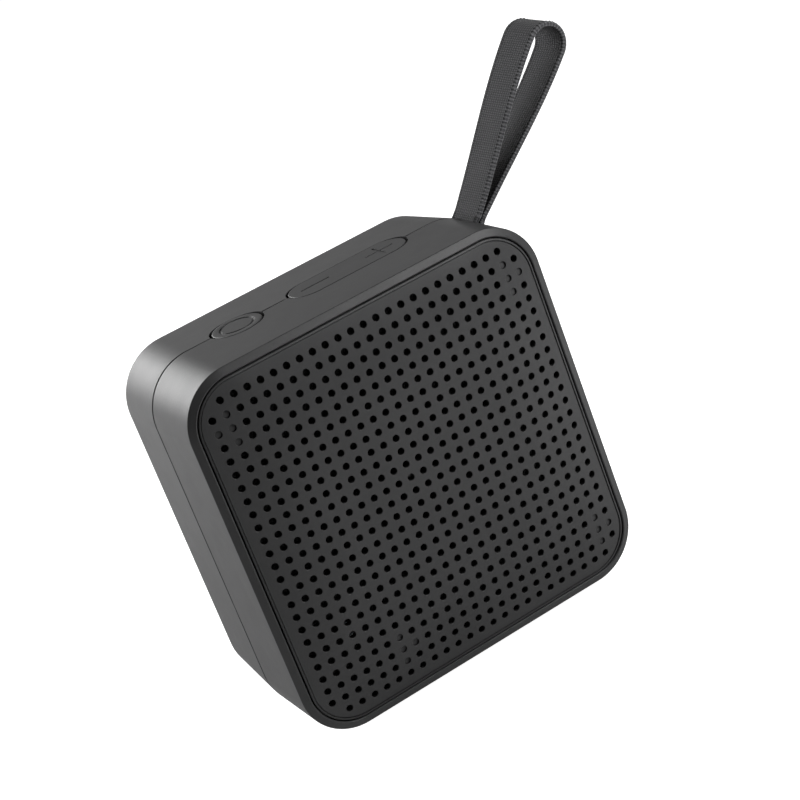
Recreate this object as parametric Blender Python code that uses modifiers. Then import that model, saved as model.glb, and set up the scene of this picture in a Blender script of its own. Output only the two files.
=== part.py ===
"""Small square shower speaker, as an assembly of separate parts.

Row frame: +X to the right and +Y to the back as seen by someone facing the grille, +Z up.
The origin is the centre of the foot pad's underside, at mid depth.
Sizes below are in millimetres. X and Z are measured from the centre of the square case.
"""
import math

import bmesh
import bpy
from mathutils import Matrix, Vector

MM = 0.001
GAP = 0.3                       # running gap between pieces that touch

# Case
PITCH = 3.1                     # hole pitch of the grille, the module of the whole design
CASE_HALF = 42.95               # half width of the case at the parting line
CORNER_R = 12.15                # its corner radius
CASE_DEPTH = 43.1               # from the middle of the grille to the back
FRONT_Y = -CASE_DEPTH / 2
BACK_Y = CASE_DEPTH / 2
BEZEL_Y = FRONT_Y + 3.26        # front edge of the bezel
PARTING_Y = FRONT_Y + 22.6
BACK_HALF = 41.85               # half width at the back edge, less than CASE_HALF: moulding draft
BACK_CORNER_R = 12.5
WALL = 2.0
FOOT_HEIGHT = 0.8
CENTRE_Z = FOOT_HEIGHT + CASE_HALF
DRAFT = math.atan((CASE_HALF - BACK_HALF) / (BACK_Y - PARTING_Y))

# Dome of the grille and bezel
DOME_FLAT = 7.0 * PITCH         # half width of the flat middle
DOME_R = 22.0 * PITCH           # radius of its curved edges
PANEL_HALF = 40.75
PANEL_CORNER_R = 10.0
PANEL_THICKNESS = 1.5
REBATE_HALF = 41.2
REBATE_Y = FRONT_Y + 4.45          # ledge that the panel's rim rests on

# Baffle, posts and case screws
BAFFLE_FRONT = FRONT_Y + 9.15
BAFFLE_BACK = BAFFLE_FRONT + 2.0
POSTS = ((-34.9, 31.0), (34.9, 31.0), (-17.8, -31.0), (34.9, -31.0))
POST_R = 3.4
SOCKET_R = 3.9                  # rear shell's screw tubes
COUNTERBORE_R = 2.7
COUNTERBORE_Y = 9.0

# Top buttons, centred on the parting line
POWER_X = -18.4
POWER_R = 5.95
ROCKER_X = 9.3
ROCKER_HALF_LENGTH = 14.7
ROCKER_HALF_WIDTH = 5.4
BUTTON_TOP = 42.85
BUTTON_FLANGE = 1.15            # how far a button's flange stands out under the wall
FLANGE_TOP = 40.0
FLANGE_BOTTOM = 39.0
STEM_BOTTOM = 38.0
SWITCH_REACH = 9.5              # from the rocker's middle to each of its switches

# Strap: its loop lies in the face plane and leaves the corner along the diagonal.
# "along" is measured from the case centre on that diagonal, "across" at right angles to it.
STRAP_Y = FRONT_Y + 18.65
STRAP_WIDTH = 10.5
WEBBING = 1.0
STRAP_ACROSS = -2.1
MOUTH_ALONG = (CASE_HALF - CORNER_R) * math.sqrt(2) + CORNER_R
LOOP_START = MOUTH_ALONG + 1.35
SWING_ALONG = MOUTH_ALONG + 1.75
LOOP_CAP_ALONG = 96.6           # centre of the loop's round end
LOOP_CAP_R = 4.45
LOOP_ROOT_GAP = 0.62            # half distance between the two legs at the mouth
LOOP_LEAN = -0.5                # how far the round end is offset to the upper side
PIN_ALONG = 51.0
PIN_R = 1.0
SLOT_HALF_WIDTH = 1.7

# Driver, on the case's centre line
DRIVER_FLANGE_R = 27.5
DRIVER_HOLE_R = 23.5
DRIVER_SCREW_R = 25.5

# Boards
BOARD = 1.6
MAIN_BOARD_Y = 10.5
BACK_INNER_Y = BACK_Y - 2.2

# Charge port on the right wall
PORT_Y = 14.0
PORT_Z = -16.5
FLAP_LENGTH = 17.0
FLAP_WIDTH = 8.0
FLAP_THICKNESS = 1.0
PIVOT_INSET = 0.5

CORNER_STEPS = 7                # segments in a rounded corner
ROUND_STEPS = 32                # segments in a turned part
SMALL_STEPS = 12                # segments in a screw or pin

COLOURS = {
    "shell": (0.045, 0.045, 0.047, 0.55, 0.0),
    "grille": (0.04, 0.04, 0.042, 0.5, 0.0),
    "silicone": (0.04, 0.04, 0.041, 0.65, 0.0),
    "webbing": (0.035, 0.035, 0.037, 0.85, 0.0),
    "steel": (0.55, 0.55, 0.56, 0.3, 1.0),
    "coated": (0.015, 0.015, 0.016, 0.45, 0.0),
    "ferrite": (0.06, 0.06, 0.065, 0.6, 0.0),
    "cone": (0.02, 0.02, 0.02, 0.5, 0.0),
    "gloss": (0.01, 0.01, 0.01, 0.12, 0.0),
    "rubber": (0.015, 0.015, 0.015, 0.7, 0.0),
    "spider": (0.45, 0.32, 0.12, 0.9, 0.0),
    "coil": (0.5, 0.22, 0.08, 0.4, 1.0),
    "board": (0.01, 0.09, 0.04, 0.5, 0.0),
    "cell": (0.35, 0.37, 0.4, 0.4, 0.6),
    "foam": (0.08, 0.08, 0.08, 0.9, 0.0),
    "lens": (0.7, 0.75, 0.8, 0.15, 0.0),
    "lead": (0.35, 0.02, 0.02, 0.5, 0.0),
}


def clear_scene():
    for obj in list(bpy.data.objects):
        bpy.data.objects.remove(obj, do_unlink=True)


def collection(name):
    made = bpy.data.collections.new(name)
    bpy.context.scene.collection.children.link(made)
    return made


def material(name):
    found = bpy.data.materials.get(name)
    if found:
        return found
    red, green, blue, roughness, metallic = COLOURS[name]
    made = bpy.data.materials.new(name)
    made.use_nodes = True
    shader = made.node_tree.nodes["Principled BSDF"]
    shader.inputs["Base Color"].default_value = (red, green, blue, 1.0)
    shader.inputs["Roughness"].default_value = roughness
    shader.inputs["Metallic"].default_value = metallic
    return made


def add_mesh(name, bm, finish, origin=(0, 0, 0), turn=None, smooth=True):
    """Makes bm, drawn in millimetres about origin, an object at that place in the case."""
    bmesh.ops.recalc_face_normals(bm, faces=bm.faces)
    bmesh.ops.scale(bm, vec=Vector((MM, MM, MM)), verts=bm.verts)
    mesh = bpy.data.meshes.new(name)
    bm.to_mesh(mesh)
    bm.free()
    if smooth:
        mesh.shade_smooth()
        mesh.set_sharp_from_angle(angle=math.radians(35))
    mesh.materials.append(material(finish))
    obj = bpy.data.objects.new(name, mesh)
    obj.location = Vector((origin[0], origin[1], origin[2] + CENTRE_Z)) * MM
    if turn is not None:
        obj.rotation_euler = turn
    SPEAKER.objects.link(obj)
    return obj


def as_cutter(obj):
    """Takes an object out of the model and keeps it as a Boolean's operand."""
    SPEAKER.objects.unlink(obj)
    CUTTERS.objects.link(obj)
    obj.hide_render = True
    obj.display_type = "WIRE"
    return obj


def boolean(obj, other, operation):
    modifier = obj.modifiers.new(operation.lower() + "_" + other.name, "BOOLEAN")
    modifier.operation = operation
    modifier.solver = "EXACT"
    modifier.object = as_cutter(other)


def join(obj, *others):
    for other in others:
        boolean(obj, other, "UNION")


def cut(obj, *others):
    for other in others:
        boolean(obj, other, "DIFFERENCE")


# Outlines: lists of (x, z) points, anticlockwise


def rounded_rectangle(half_x, half_z, radius, steps=CORNER_STEPS):
    points = []
    corners = ((1, 1, 0), (-1, 1, 90), (-1, -1, 180), (1, -1, 270))
    for side_x, side_z, first in corners:
        centre_x = side_x * (half_x - radius)
        centre_z = side_z * (half_z - radius)
        for step in range(steps + 1):
            angle = math.radians(first + 90 * step / steps)
            x = centre_x + radius * math.cos(angle)
            z = centre_z + radius * math.sin(angle)
            points.append((x, z))
    return points


def rounded_square(half, radius):
    return rounded_rectangle(half, half, radius)


def circle(radius):
    """A circle with as many points as a rounded square, so that the two can be lofted."""
    points = []
    for quarter in range(4):
        for step in range(CORNER_STEPS + 1):
            angle = math.radians(90 * quarter + 5 + 80 * step / CORNER_STEPS)
            points.append((radius * math.cos(angle), radius * math.sin(angle)))
    return points


def loft(sections, ring=False):
    """Skins sections, each a list of (x, y, z) points. A ring closes on itself, the rest is capped."""
    bm = bmesh.new()
    loops = [[bm.verts.new(point) for point in section] for section in sections]
    pairs = list(zip(loops, loops[1:]))
    if ring:
        pairs.append((loops[-1], loops[0]))
    else:
        bm.faces.new(loops[0])
        bm.faces.new(loops[-1])
    count = len(loops[0])
    for one, two in pairs:
        for i in range(count):
            j = (i + 1) % count
            bm.faces.new((one[i], one[j], two[j], two[i]))
    return bm


def at_depth(outline, y):
    return [(x, y, z) for x, z in outline]


def at_height(outline, z):
    """The same outline lying flat: its second coordinate becomes depth."""
    return [(x, -second, z) for x, second in outline]


def box(low, high):
    bm = bmesh.new()
    bmesh.ops.create_cube(bm, size=1.0)
    size = Vector(high) - Vector(low)
    middle = (Vector(high) + Vector(low)) / 2
    bmesh.ops.scale(bm, vec=size, verts=bm.verts)
    bmesh.ops.translate(bm, vec=middle, verts=bm.verts)
    return bm


AXIS_TURN = {
    "X": Matrix.Rotation(math.radians(90), 3, "Y"),
    "Y": Matrix.Rotation(math.radians(90), 3, "X"),
    "Z": Matrix.Identity(3),
}


def cylinder(axis, centre, radius, length, steps=SMALL_STEPS):
    bm = bmesh.new()
    bmesh.ops.create_cone(
        bm, cap_ends=True, segments=steps, radius1=radius, radius2=radius, depth=length
    )
    bmesh.ops.rotate(bm, cent=(0, 0, 0), matrix=AXIS_TURN[axis], verts=bm.verts)
    bmesh.ops.translate(bm, vec=Vector(centre), verts=bm.verts)
    return bm


def rod_y(x, z, radius, front, back, steps=SMALL_STEPS):
    return cylinder("Y", (x, (front + back) / 2, z), radius, back - front, steps)


def rod_z(x, y, radius, bottom, top, steps=SMALL_STEPS):
    return cylinder("Z", (x, y, (bottom + top) / 2), radius, top - bottom, steps)


def turned(name, profile, finish, x=0.0, z=0.0, steps=ROUND_STEPS, ring=True):
    """A part turned about a line along Y. profile is (radius, y), down its outer side from the front."""
    mesh = bpy.data.meshes.new(name)
    points = [(radius * MM, 0.0, -y * MM) for radius, y in profile]
    edges = [(i, i + 1) for i in range(len(points) - 1)]
    if ring:
        edges.append((len(points) - 1, 0))
    mesh.from_pydata(points, edges, [])
    mesh.materials.append(material(finish))
    obj = bpy.data.objects.new(name, mesh)
    obj.location = Vector((x, 0.0, z + CENTRE_Z)) * MM
    obj.rotation_euler = (math.radians(90), 0, 0)
    screw = obj.modifiers.new("turn", "SCREW")
    screw.steps = steps
    screw.render_steps = steps
    screw.use_merge_vertices = True
    screw.merge_threshold = 0.00001
    screw.use_smooth_shade = True
    SPEAKER.objects.link(obj)
    return obj


def moved(obj, pivot, turn=None):
    """Gives obj a parent empty on its joint's axis, and keeps it in place."""
    empty = bpy.data.objects.new(obj.name + "_axis", None)
    empty.empty_display_size = 0.01
    empty.location = Vector((pivot[0], pivot[1], pivot[2] + CENTRE_Z)) * MM
    if turn is not None:
        empty.rotation_euler = turn
    SPEAKER.objects.link(empty)
    bpy.context.view_layer.update()
    obj.parent = empty
    obj.matrix_parent_inverse = empty.matrix_world.inverted()
    return empty


# The dome


def dome_fall(distance):
    """How far the dome falls back at this distance from the middle, across a flat side."""
    past = max(distance - DOME_FLAT, 0.0)
    return DOME_R - math.sqrt(DOME_R**2 - past**2)


def case_corner_radius(y):
    if y <= PARTING_Y:
        return CORNER_R
    share = (y - PARTING_Y) / (BACK_Y - PARTING_Y)
    return CORNER_R + (BACK_CORNER_R - CORNER_R) * share


def case_half(y):
    if y <= PARTING_Y:
        return CASE_HALF
    return CASE_HALF - (y - PARTING_Y) * math.tan(DRAFT)


def case_section(y, inset=0.0):
    outline = rounded_square(case_half(y) - inset, case_corner_radius(y) - inset)
    return at_depth(outline, y)


# Case parts


def make_grille_panel():
    """The domed panel. Its holes are too fine for the working model and are made with the looks."""
    halves = (DOME_FLAT, 25.5, 29.0, 32.5, 36.0, 38.4, PANEL_HALF)
    sections = []
    for half in halves:
        radius = 3.0 + (PANEL_CORNER_R - 3.0) * (half - DOME_FLAT) / (PANEL_HALF - DOME_FLAT)
        outline = rounded_square(half, radius)
        sections.append(at_depth(outline, FRONT_Y + dome_fall(half)))
    rim_back = FRONT_Y + dome_fall(PANEL_HALF) + PANEL_THICKNESS
    sections.append(at_depth(rounded_square(PANEL_HALF, PANEL_CORNER_R), rim_back))
    for half in (32.5, DOME_FLAT):
        radius = 3.0 + (PANEL_CORNER_R - 3.0) * (half - DOME_FLAT) / (PANEL_HALF - DOME_FLAT)
        outline = rounded_square(half, radius)
        sections.append(at_depth(outline, FRONT_Y + dome_fall(half) + PANEL_THICKNESS))
    return add_mesh("grille_panel", loft(sections), "grille")


def slot_cutter(name):
    """The strap's slot through the rounded corner, square to the diagonal."""
    half_y = STRAP_WIDTH / 2 + 0.45
    bm = bmesh.new()
    outline = rounded_rectangle(SLOT_HALF_WIDTH, half_y, 0.8, steps=3)
    low = [bm.verts.new((x, y, PIN_ALONG + 0.8)) for x, y in outline]
    high = [bm.verts.new((x, y, MOUTH_ALONG + 3.0)) for x, y in outline]
    bm.faces.new(low)
    bm.faces.new(high)
    for i in range(len(low)):
        j = (i + 1) % len(low)
        bm.faces.new((low[i], low[j], high[j], high[i]))
    bmesh.ops.translate(bm, vec=(STRAP_ACROSS, STRAP_Y, 0), verts=bm.verts)
    return add_mesh(name, bm, "shell", turn=(0, math.radians(45), 0))


def button_cutters(prefix):
    power = rod_z(POWER_X, PARTING_Y, POWER_R + GAP, 38.5, 45.0, ROUND_STEPS)
    pill = rounded_rectangle(
        ROCKER_HALF_LENGTH + GAP, ROCKER_HALF_WIDTH + GAP, ROCKER_HALF_WIDTH + GAP - 0.01
    )
    sections = [at_height(pill, 38.5), at_height(pill, 45.0)]
    bm = loft(sections)
    bmesh.ops.translate(bm, vec=(ROCKER_X, PARTING_Y, 0), verts=bm.verts)
    return (
        add_mesh(prefix + "_power_hole", power, "shell"),
        add_mesh(prefix + "_rocker_hole", bm, "shell"),
    )


def foot_recess(name):
    half_x, half_y = 26.0 + GAP, 13.0 + GAP
    outline = rounded_rectangle(half_x, half_y, 4.0 + GAP, steps=4)
    floor = -CASE_HALF + 0.5
    sections = [at_height(outline, -CASE_HALF - 3.0), at_height(outline, floor)]
    return add_mesh(name, loft(sections), "shell")


def make_front_shell():
    """Bezel, side walls and baffle as one ring, with posts, bracket bosses and a pin boss."""
    edge_y = BEZEL_Y
    inner_edge_y = FRONT_Y + dome_fall(REBATE_HALF)
    wall_half = CASE_HALF - WALL
    end_y = PARTING_Y - GAP / 2

    def ring(half, y):
        return at_depth(rounded_square(half, CORNER_R - (CASE_HALF - half)), y)

    sections = [
        ring(CASE_HALF - 0.2, end_y),
        ring(CASE_HALF, end_y - 0.25),
        ring(CASE_HALF - 0.06, edge_y + 0.35),
        ring(CASE_HALF - 0.3, edge_y),
        ring(REBATE_HALF + 0.35, inner_edge_y + 0.02),
        ring(REBATE_HALF, inner_edge_y + 0.4),
        ring(REBATE_HALF, REBATE_Y),
        ring(38.6, REBATE_Y),
        ring(38.6, REBATE_Y + 1.8),
        ring(wall_half, REBATE_Y + 3.6),
        ring(wall_half, BAFFLE_FRONT),
        at_depth(circle(DRIVER_HOLE_R), BAFFLE_FRONT),
        at_depth(circle(DRIVER_HOLE_R), BAFFLE_BACK),
        ring(wall_half, BAFFLE_BACK),
        ring(wall_half, end_y),
    ]
    shell = add_mesh("front_shell", loft(sections, ring=True), "shell")
    for i, (x, z) in enumerate(POSTS):
        post = rod_y(x, z, POST_R, REBATE_Y, PARTING_Y - 1.5, 16)
        join(shell, add_mesh(f"front_post_{i + 1}", post, "shell"))
    for i, (x, z) in enumerate(POSTS):
        pilot = rod_y(x, z, 1.05, -8.0, PARTING_Y + 2.0)
        cut(shell, add_mesh(f"front_pilot_{i + 1}", pilot, "shell"))
    for i, x in enumerate(BRACKET_SCREW_X):
        boss = rod_z(x, BRACKET_SCREW_Y, 2.0, BRACKET_TOP + GAP, CASE_HALF - 1.0)
        join(shell, add_mesh(f"bracket_boss_{i + 1}", boss, "shell"))
    for i, x in enumerate(BRACKET_SCREW_X):
        pilot = rod_z(x, BRACKET_SCREW_Y, 1.05, BRACKET_TOP - 1.0, 40.0)
        cut(shell, add_mesh(f"bracket_pilot_{i + 1}", pilot, "shell"))
    pin_x, pin_z = on_diagonal(PIN_ALONG, STRAP_ACROSS)
    boss = rod_y(pin_x, pin_z, 2.1, BAFFLE_BACK - 0.5, BAFFLE_BACK + 1.4)
    join(shell, add_mesh("pin_boss_front", boss, "shell"))
    hole = rod_y(pin_x, pin_z, PIN_R + GAP, BAFFLE_BACK + 0.2, BAFFLE_BACK + 3.0)
    cut(shell, add_mesh("pin_hole_front", hole, "shell"))
    for i, angle in enumerate(DRIVER_SCREW_ANGLES):
        x, z = polar(DRIVER_SCREW_R, angle)
        pilot = rod_y(x, z, 1.05, BAFFLE_FRONT - 1.0, BAFFLE_BACK + 1.0)
        cut(shell, add_mesh(f"driver_pilot_{i + 1}", pilot, "shell"))
    cut(shell, slot_cutter("slot_front"), foot_recess("recess_front"))
    cut(shell, *button_cutters("front"))
    return shell


def make_rear_shell():
    """The drafted rear half: wall, back, screw tubes, board bosses, pin tower and charge port."""
    start_y = PARTING_Y + GAP / 2
    edge_y = BACK_Y - 0.55
    inner_inset = WALL

    def inner(y):
        return case_section(y, inner_inset)

    sections = [
        inner(start_y),
        at_depth(rounded_square(CASE_HALF - 0.2, CORNER_R - 0.2), start_y),
        case_section(start_y + 0.25),
        case_section(edge_y),
        case_section(BACK_Y - 0.15, 0.15),
        case_section(BACK_Y, 0.7),
    ]
    back_inner = [inner(start_y), inner(BACK_INNER_Y)]
    outer = loft(sections[1:])
    shell = add_mesh("rear_shell", outer, "shell")
    hollow = [case_section(start_y - 2.0, inner_inset), back_inner[1]]
    cut(shell, add_mesh("rear_hollow", loft(hollow), "shell"))
    for i, (x, z) in enumerate(POSTS):
        tube = rod_y(x, z, SOCKET_R, PARTING_Y + 0.6, BACK_INNER_Y + 1.0, 16)
        join(shell, add_mesh(f"screw_tube_{i + 1}", tube, "shell"))
    for i, (x, z) in enumerate(BOARD_SCREWS):
        boss = rod_y(x, z, 2.2, MAIN_BOARD_Y + BOARD + GAP, BACK_INNER_Y + 1.0)
        join(shell, add_mesh(f"board_boss_{i + 1}", boss, "shell"))
    pin_x, pin_z = on_diagonal(PIN_ALONG, STRAP_ACROSS)
    tower = rod_y(pin_x, pin_z, 2.2, STRAP_Y + STRAP_WIDTH / 2 + 0.6, BACK_INNER_Y + 1.0)
    join(shell, add_mesh("pin_tower", tower, "shell"))
    half = case_half(PORT_Y)
    pad = box((half - WALL - 1.2, 8.6, PORT_Z - 11.0), (half - WALL + 0.8, 19.9, PORT_Z + 11.0))
    join(shell, add_mesh("port_pad", pad, "shell"))
    for i, (x, z) in enumerate(POSTS):
        bore = rod_y(x, z, 1.45, PARTING_Y - 2.0, COUNTERBORE_Y + 2.0)
        wide = rod_y(x, z, COUNTERBORE_R, COUNTERBORE_Y, BACK_Y + 2.0, 20)
        cut(shell, add_mesh(f"case_bore_{i + 1}", bore, "shell"))
        cut(shell, add_mesh(f"counterbore_{i + 1}", wide, "shell"))
    for i, (x, z) in enumerate(BOARD_SCREWS):
        pilot = rod_y(x, z, 1.05, MAIN_BOARD_Y, BACK_INNER_Y - 1.5)
        cut(shell, add_mesh(f"board_pilot_{i + 1}", pilot, "shell"))
    hole = rod_y(pin_x, pin_z, PIN_R + GAP, PARTING_Y, PIN_BACK + 0.4)
    cut(shell, add_mesh("pin_hole_rear", hole, "shell"))
    cut(shell, slot_cutter("slot_rear"), foot_recess("recess_rear"))
    cut(shell, *button_cutters("rear"))
    cut(shell, port_recess(), port_hole())
    return shell


def make_case_seal():
    """Silicone strip inside the joint, open where the buttons and the strap's well cross it."""
    def ring(half, y):
        return at_depth(rounded_square(half, CORNER_R - (CASE_HALF - half)), y)

    front, back = PARTING_Y - 1.6, PARTING_Y + 1.5
    outer, inner = CASE_HALF - WALL - 0.4, CASE_HALF - WALL - 1.5
    sections = [ring(inner, front), ring(outer, front), ring(outer, back), ring(inner, back)]
    seal = add_mesh("case_seal", loft(sections, ring=True), "rubber")
    well = box((STRAP_ACROSS - 4.6, PARTING_Y - 8, 44), (STRAP_ACROSS + 4.6, PARTING_Y + 8, 62))
    cut(seal, add_mesh("seal_opening", well, "rubber", turn=(0, math.radians(45), 0)))
    buttons = box((-27.0, PARTING_Y - 8, 36.0), (45.0, PARTING_Y + 8, 45.0))
    cut(seal, add_mesh("seal_button_opening", buttons, "rubber"))
    return seal


def make_foot_pad():
    top = -CASE_HALF + 0.2
    bottom = -CENTRE_Z
    outline = rounded_rectangle(26.0, 13.0, 4.0, steps=4)
    lower = rounded_rectangle(25.6, 12.6, 3.6, steps=4)
    sections = [at_height(lower, bottom), at_height(outline, bottom + 0.4), at_height(outline, top)]
    return add_mesh("foot_pad", loft(sections), "rubber")


# Buttons and their switches

BRACKET_TOP = 34.4
BRACKET_SCREW_X = (-28.5, 28.5)
BRACKET_SCREW_Y = -4.0
BUTTON_BOARD_Z = 34.7


def make_power_button():
    """Round cap, flange and stem, turned about an upright axis."""
    profile = (
        (0.0, BUTTON_TOP), (3.4, BUTTON_TOP), (3.6, BUTTON_TOP - 0.35), (3.9, BUTTON_TOP - 0.35),
        (4.1, BUTTON_TOP), (POWER_R - 0.3, BUTTON_TOP), (POWER_R, BUTTON_TOP - 0.3),
        (POWER_R, FLANGE_TOP), (POWER_R + BUTTON_FLANGE, FLANGE_TOP),
        (POWER_R + BUTTON_FLANGE, FLANGE_BOTTOM), (1.5, FLANGE_BOTTOM), (1.5, STEM_BOTTOM),
        (0.0, STEM_BOTTOM),
    )
    button = turned("power_button", profile, "silicone", ring=False)
    mesh = button.data
    for vertex in mesh.vertices:
        vertex.co.z = -vertex.co.z
    button.rotation_euler = (0, 0, 0)
    button.location = Vector((POWER_X, PARTING_Y, CENTRE_Z)) * MM
    return button


def make_volume_rocker():
    """Pill-shaped cap on a flange, with a stem over each of its switches."""
    def pill(grow, z):
        half_width = ROCKER_HALF_WIDTH + grow
        outline = rounded_rectangle(ROCKER_HALF_LENGTH + grow, half_width, half_width - 0.01)
        return at_height(outline, z - FLANGE_BOTTOM)

    sections = [
        pill(BUTTON_FLANGE, FLANGE_BOTTOM), pill(BUTTON_FLANGE, FLANGE_TOP), pill(0, FLANGE_TOP),
        pill(0, BUTTON_TOP - 0.3), pill(-0.3, BUTTON_TOP),
    ]
    pivot = (ROCKER_X, PARTING_Y, FLANGE_BOTTOM)
    rocker = add_mesh("volume_rocker", loft(sections), "silicone", origin=pivot)
    for side in (-1, 1):
        stem = rod_z(side * SWITCH_REACH, 0, 1.5, STEM_BOTTOM - FLANGE_BOTTOM, 0.5)
        join(rocker, add_mesh(f"rocker_stem_{side}", stem, "silicone", origin=pivot))
    return rocker


def make_button_bracket():
    """Plate under the button board, with a bridge that the rocker tips over."""
    plate = box((-31.0, -5.6, BRACKET_TOP - 1.2), (31.0, 7.6, BRACKET_TOP))
    bracket = add_mesh("button_bracket", plate, "shell", smooth=False)
    low = (ROCKER_X - 3.0, -6.9, BRACKET_TOP - 1.1)
    high = (ROCKER_X + 3.0, 9.0, BRACKET_TOP - 0.1)
    join(bracket, add_mesh("bridge_foot", box(low, high), "shell"))
    bridge_top = FLANGE_BOTTOM - 0.4
    for i, y in enumerate((-6.3, 8.4)):
        low = (ROCKER_X - 0.8, y - 0.6, BRACKET_TOP - 0.6)
        high = (ROCKER_X + 0.8, y + 0.6, bridge_top)
        join(bracket, add_mesh(f"bridge_leg_{i + 1}", box(low, high), "shell"))
    bar = box((ROCKER_X - 0.6, -6.7, bridge_top - 0.7), (ROCKER_X + 0.6, 8.8, bridge_top - 0.02))
    join(bracket, add_mesh("bridge_bar", bar, "shell"))
    for i, x in enumerate(BRACKET_SCREW_X):
        hole = rod_z(x, BRACKET_SCREW_Y, 1.3, BRACKET_TOP - 3.0, BRACKET_TOP + 2.0)
        cut(bracket, add_mesh(f"bracket_hole_{i + 1}", hole, "shell"))
    return bracket


def make_button_board():
    low = (-25.5, -5.2, BUTTON_BOARD_Z)
    high = (25.0, 7.2, BUTTON_BOARD_Z + 1.0)
    return add_mesh("button_board", box(low, high), "board", smooth=False)


def make_tact_switch(name, x):
    base = BUTTON_BOARD_Z + 1.0 + GAP
    body = box((x - 3.0, PARTING_Y - 3.0, base), (x + 3.0, PARTING_Y + 3.0, base + 1.0))
    switch = add_mesh(name, body, "steel", smooth=False)
    plunger = rod_z(x, PARTING_Y, 1.2, base + 0.5, base + 1.4)
    join(switch, add_mesh(name + "_plunger", plunger, "rubber"))
    return switch


# Strap


def on_diagonal(along, across):
    """(x, z) of a point given along and across the diagonal."""
    root = math.sqrt(2)
    return (along + across) / root, (along - across) / root


def loop_half_gap(share):
    """Half distance between the strap's legs, from the mouth at 0 to the round end at 1."""
    shape = 0.75 * share + 1.5 * share**2 - 1.25 * share**3
    return LOOP_ROOT_GAP + (LOOP_CAP_R - LOOP_ROOT_GAP) * shape


def band(centreline, width, thickness):
    """Flat webbing along centreline, a list of (across, along) points in the face plane."""
    sections = []
    last = len(centreline) - 1
    for i, point in enumerate(centreline):
        before = Vector(centreline[max(i - 1, 0)])
        after = Vector(centreline[min(i + 1, last)])
        run = (after - before).normalized()
        side = Vector((run.y, -run.x)) * thickness / 2
        middle = Vector(point)
        one, two = middle + side, middle - side
        half = width / 2
        sections.append([
            (one.x, -half, one.y), (one.x, half, one.y), (two.x, half, two.y), (two.x, -half, two.y)
        ])
    return loft(sections)


def make_strap_loop():
    """The webbing outside the case: two legs from the mouth and a round end."""
    leg_steps, cap_steps = 9, 12
    across, lean = STRAP_ACROSS, LOOP_LEAN
    left, right = [], []
    for step in range(leg_steps + 1):
        share = step / leg_steps
        along = LOOP_START + (LOOP_CAP_ALONG - LOOP_START) * share
        middle = across + lean * share
        half_gap = loop_half_gap(share)
        left.append((middle - half_gap, along))
        right.append((middle + half_gap, along))
    cap = []
    for step in range(1, cap_steps):
        angle = math.pi - math.pi * step / cap_steps
        x = across + lean + LOOP_CAP_R * math.cos(angle)
        cap.append((x, LOOP_CAP_ALONG + LOOP_CAP_R * math.sin(angle)))
    line = left + cap + right[::-1]
    local = [(x - STRAP_ACROSS, along - SWING_ALONG) for x, along in line]
    x, z = on_diagonal(SWING_ALONG, STRAP_ACROSS)
    turn = (0, math.radians(45), 0)
    bm = band(local, STRAP_WIDTH, WEBBING)
    return add_mesh("strap_loop", bm, "webbing", origin=(x, STRAP_Y, z), turn=turn)


def make_strap_tail():
    """The webbing inside the corner, round its pin."""
    radius = PIN_R + 0.15 + WEBBING / 2
    top = MOUTH_ALONG + 0.1
    bend_steps = 10
    line = [(-LOOP_ROOT_GAP, top - PIN_ALONG), (-LOOP_ROOT_GAP - 0.25, 2.6)]
    for step in range(bend_steps + 1):
        angle = math.radians(160 + 220 * step / bend_steps)
        line.append((radius * math.cos(angle), radius * math.sin(angle)))
    line += [(LOOP_ROOT_GAP + 0.25, 2.6), (LOOP_ROOT_GAP, top - PIN_ALONG)]
    x, z = on_diagonal(PIN_ALONG, STRAP_ACROSS)
    turn = (0, math.radians(45), 0)
    bm = band(line, STRAP_WIDTH, WEBBING)
    return add_mesh("strap_tail", bm, "webbing", origin=(x, STRAP_Y, z), turn=turn)


PIN_BACK = STRAP_Y + STRAP_WIDTH / 2 + 3.4


def make_strap_pin():
    x, z = on_diagonal(PIN_ALONG, STRAP_ACROSS)
    return add_mesh("strap_pin", rod_y(x, z, PIN_R, BAFFLE_BACK + 0.5, PIN_BACK), "steel")


# Charge port


def on_right_wall(out, y, z):
    """A point of the drafted right wall: out from its face, along it at depth y, and height z."""
    x = case_half(y) + out * math.cos(DRAFT)
    return Vector((x, y + out * math.sin(DRAFT), z))


def wall_plate(name, half_y, half_z, radius, inner, outer, finish="shell"):
    """A rounded plate or cutter lying in the right wall, from inner to outer along its normal."""
    outline = rounded_rectangle(half_z, half_y, radius, steps=4)
    sections = [[(out, y, z) for z, y in outline] for out in (inner, outer)]
    origin = on_right_wall(0, PORT_Y, PORT_Z)
    return add_mesh(name, loft(sections), finish, origin=origin, turn=(0, 0, DRAFT))


def port_recess():
    depth = FLAP_THICKNESS + GAP
    half_y, half_z = FLAP_WIDTH / 2 + GAP, FLAP_LENGTH / 2 + GAP
    return wall_plate("flap_recess", half_y, half_z, 0.8, -depth, 2.0)


def port_hole():
    return wall_plate("port_hole", 2.0, 4.9, 1.95, -6.0, 1.0)


def make_port_flap():
    """Silicone cover: a plate in the recess and a plug in the hole, hinged at its lower end."""
    half_y, half_z = FLAP_WIDTH / 2, FLAP_LENGTH / 2
    flap = wall_plate("port_flap", half_y, half_z, 1.2, -FLAP_THICKNESS, 0.0, "silicone")
    plug = wall_plate("flap_plug", 1.55, 4.4, 1.5, -FLAP_THICKNESS - 1.8, -0.5, "silicone")
    join(flap, plug)
    return flap


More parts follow.
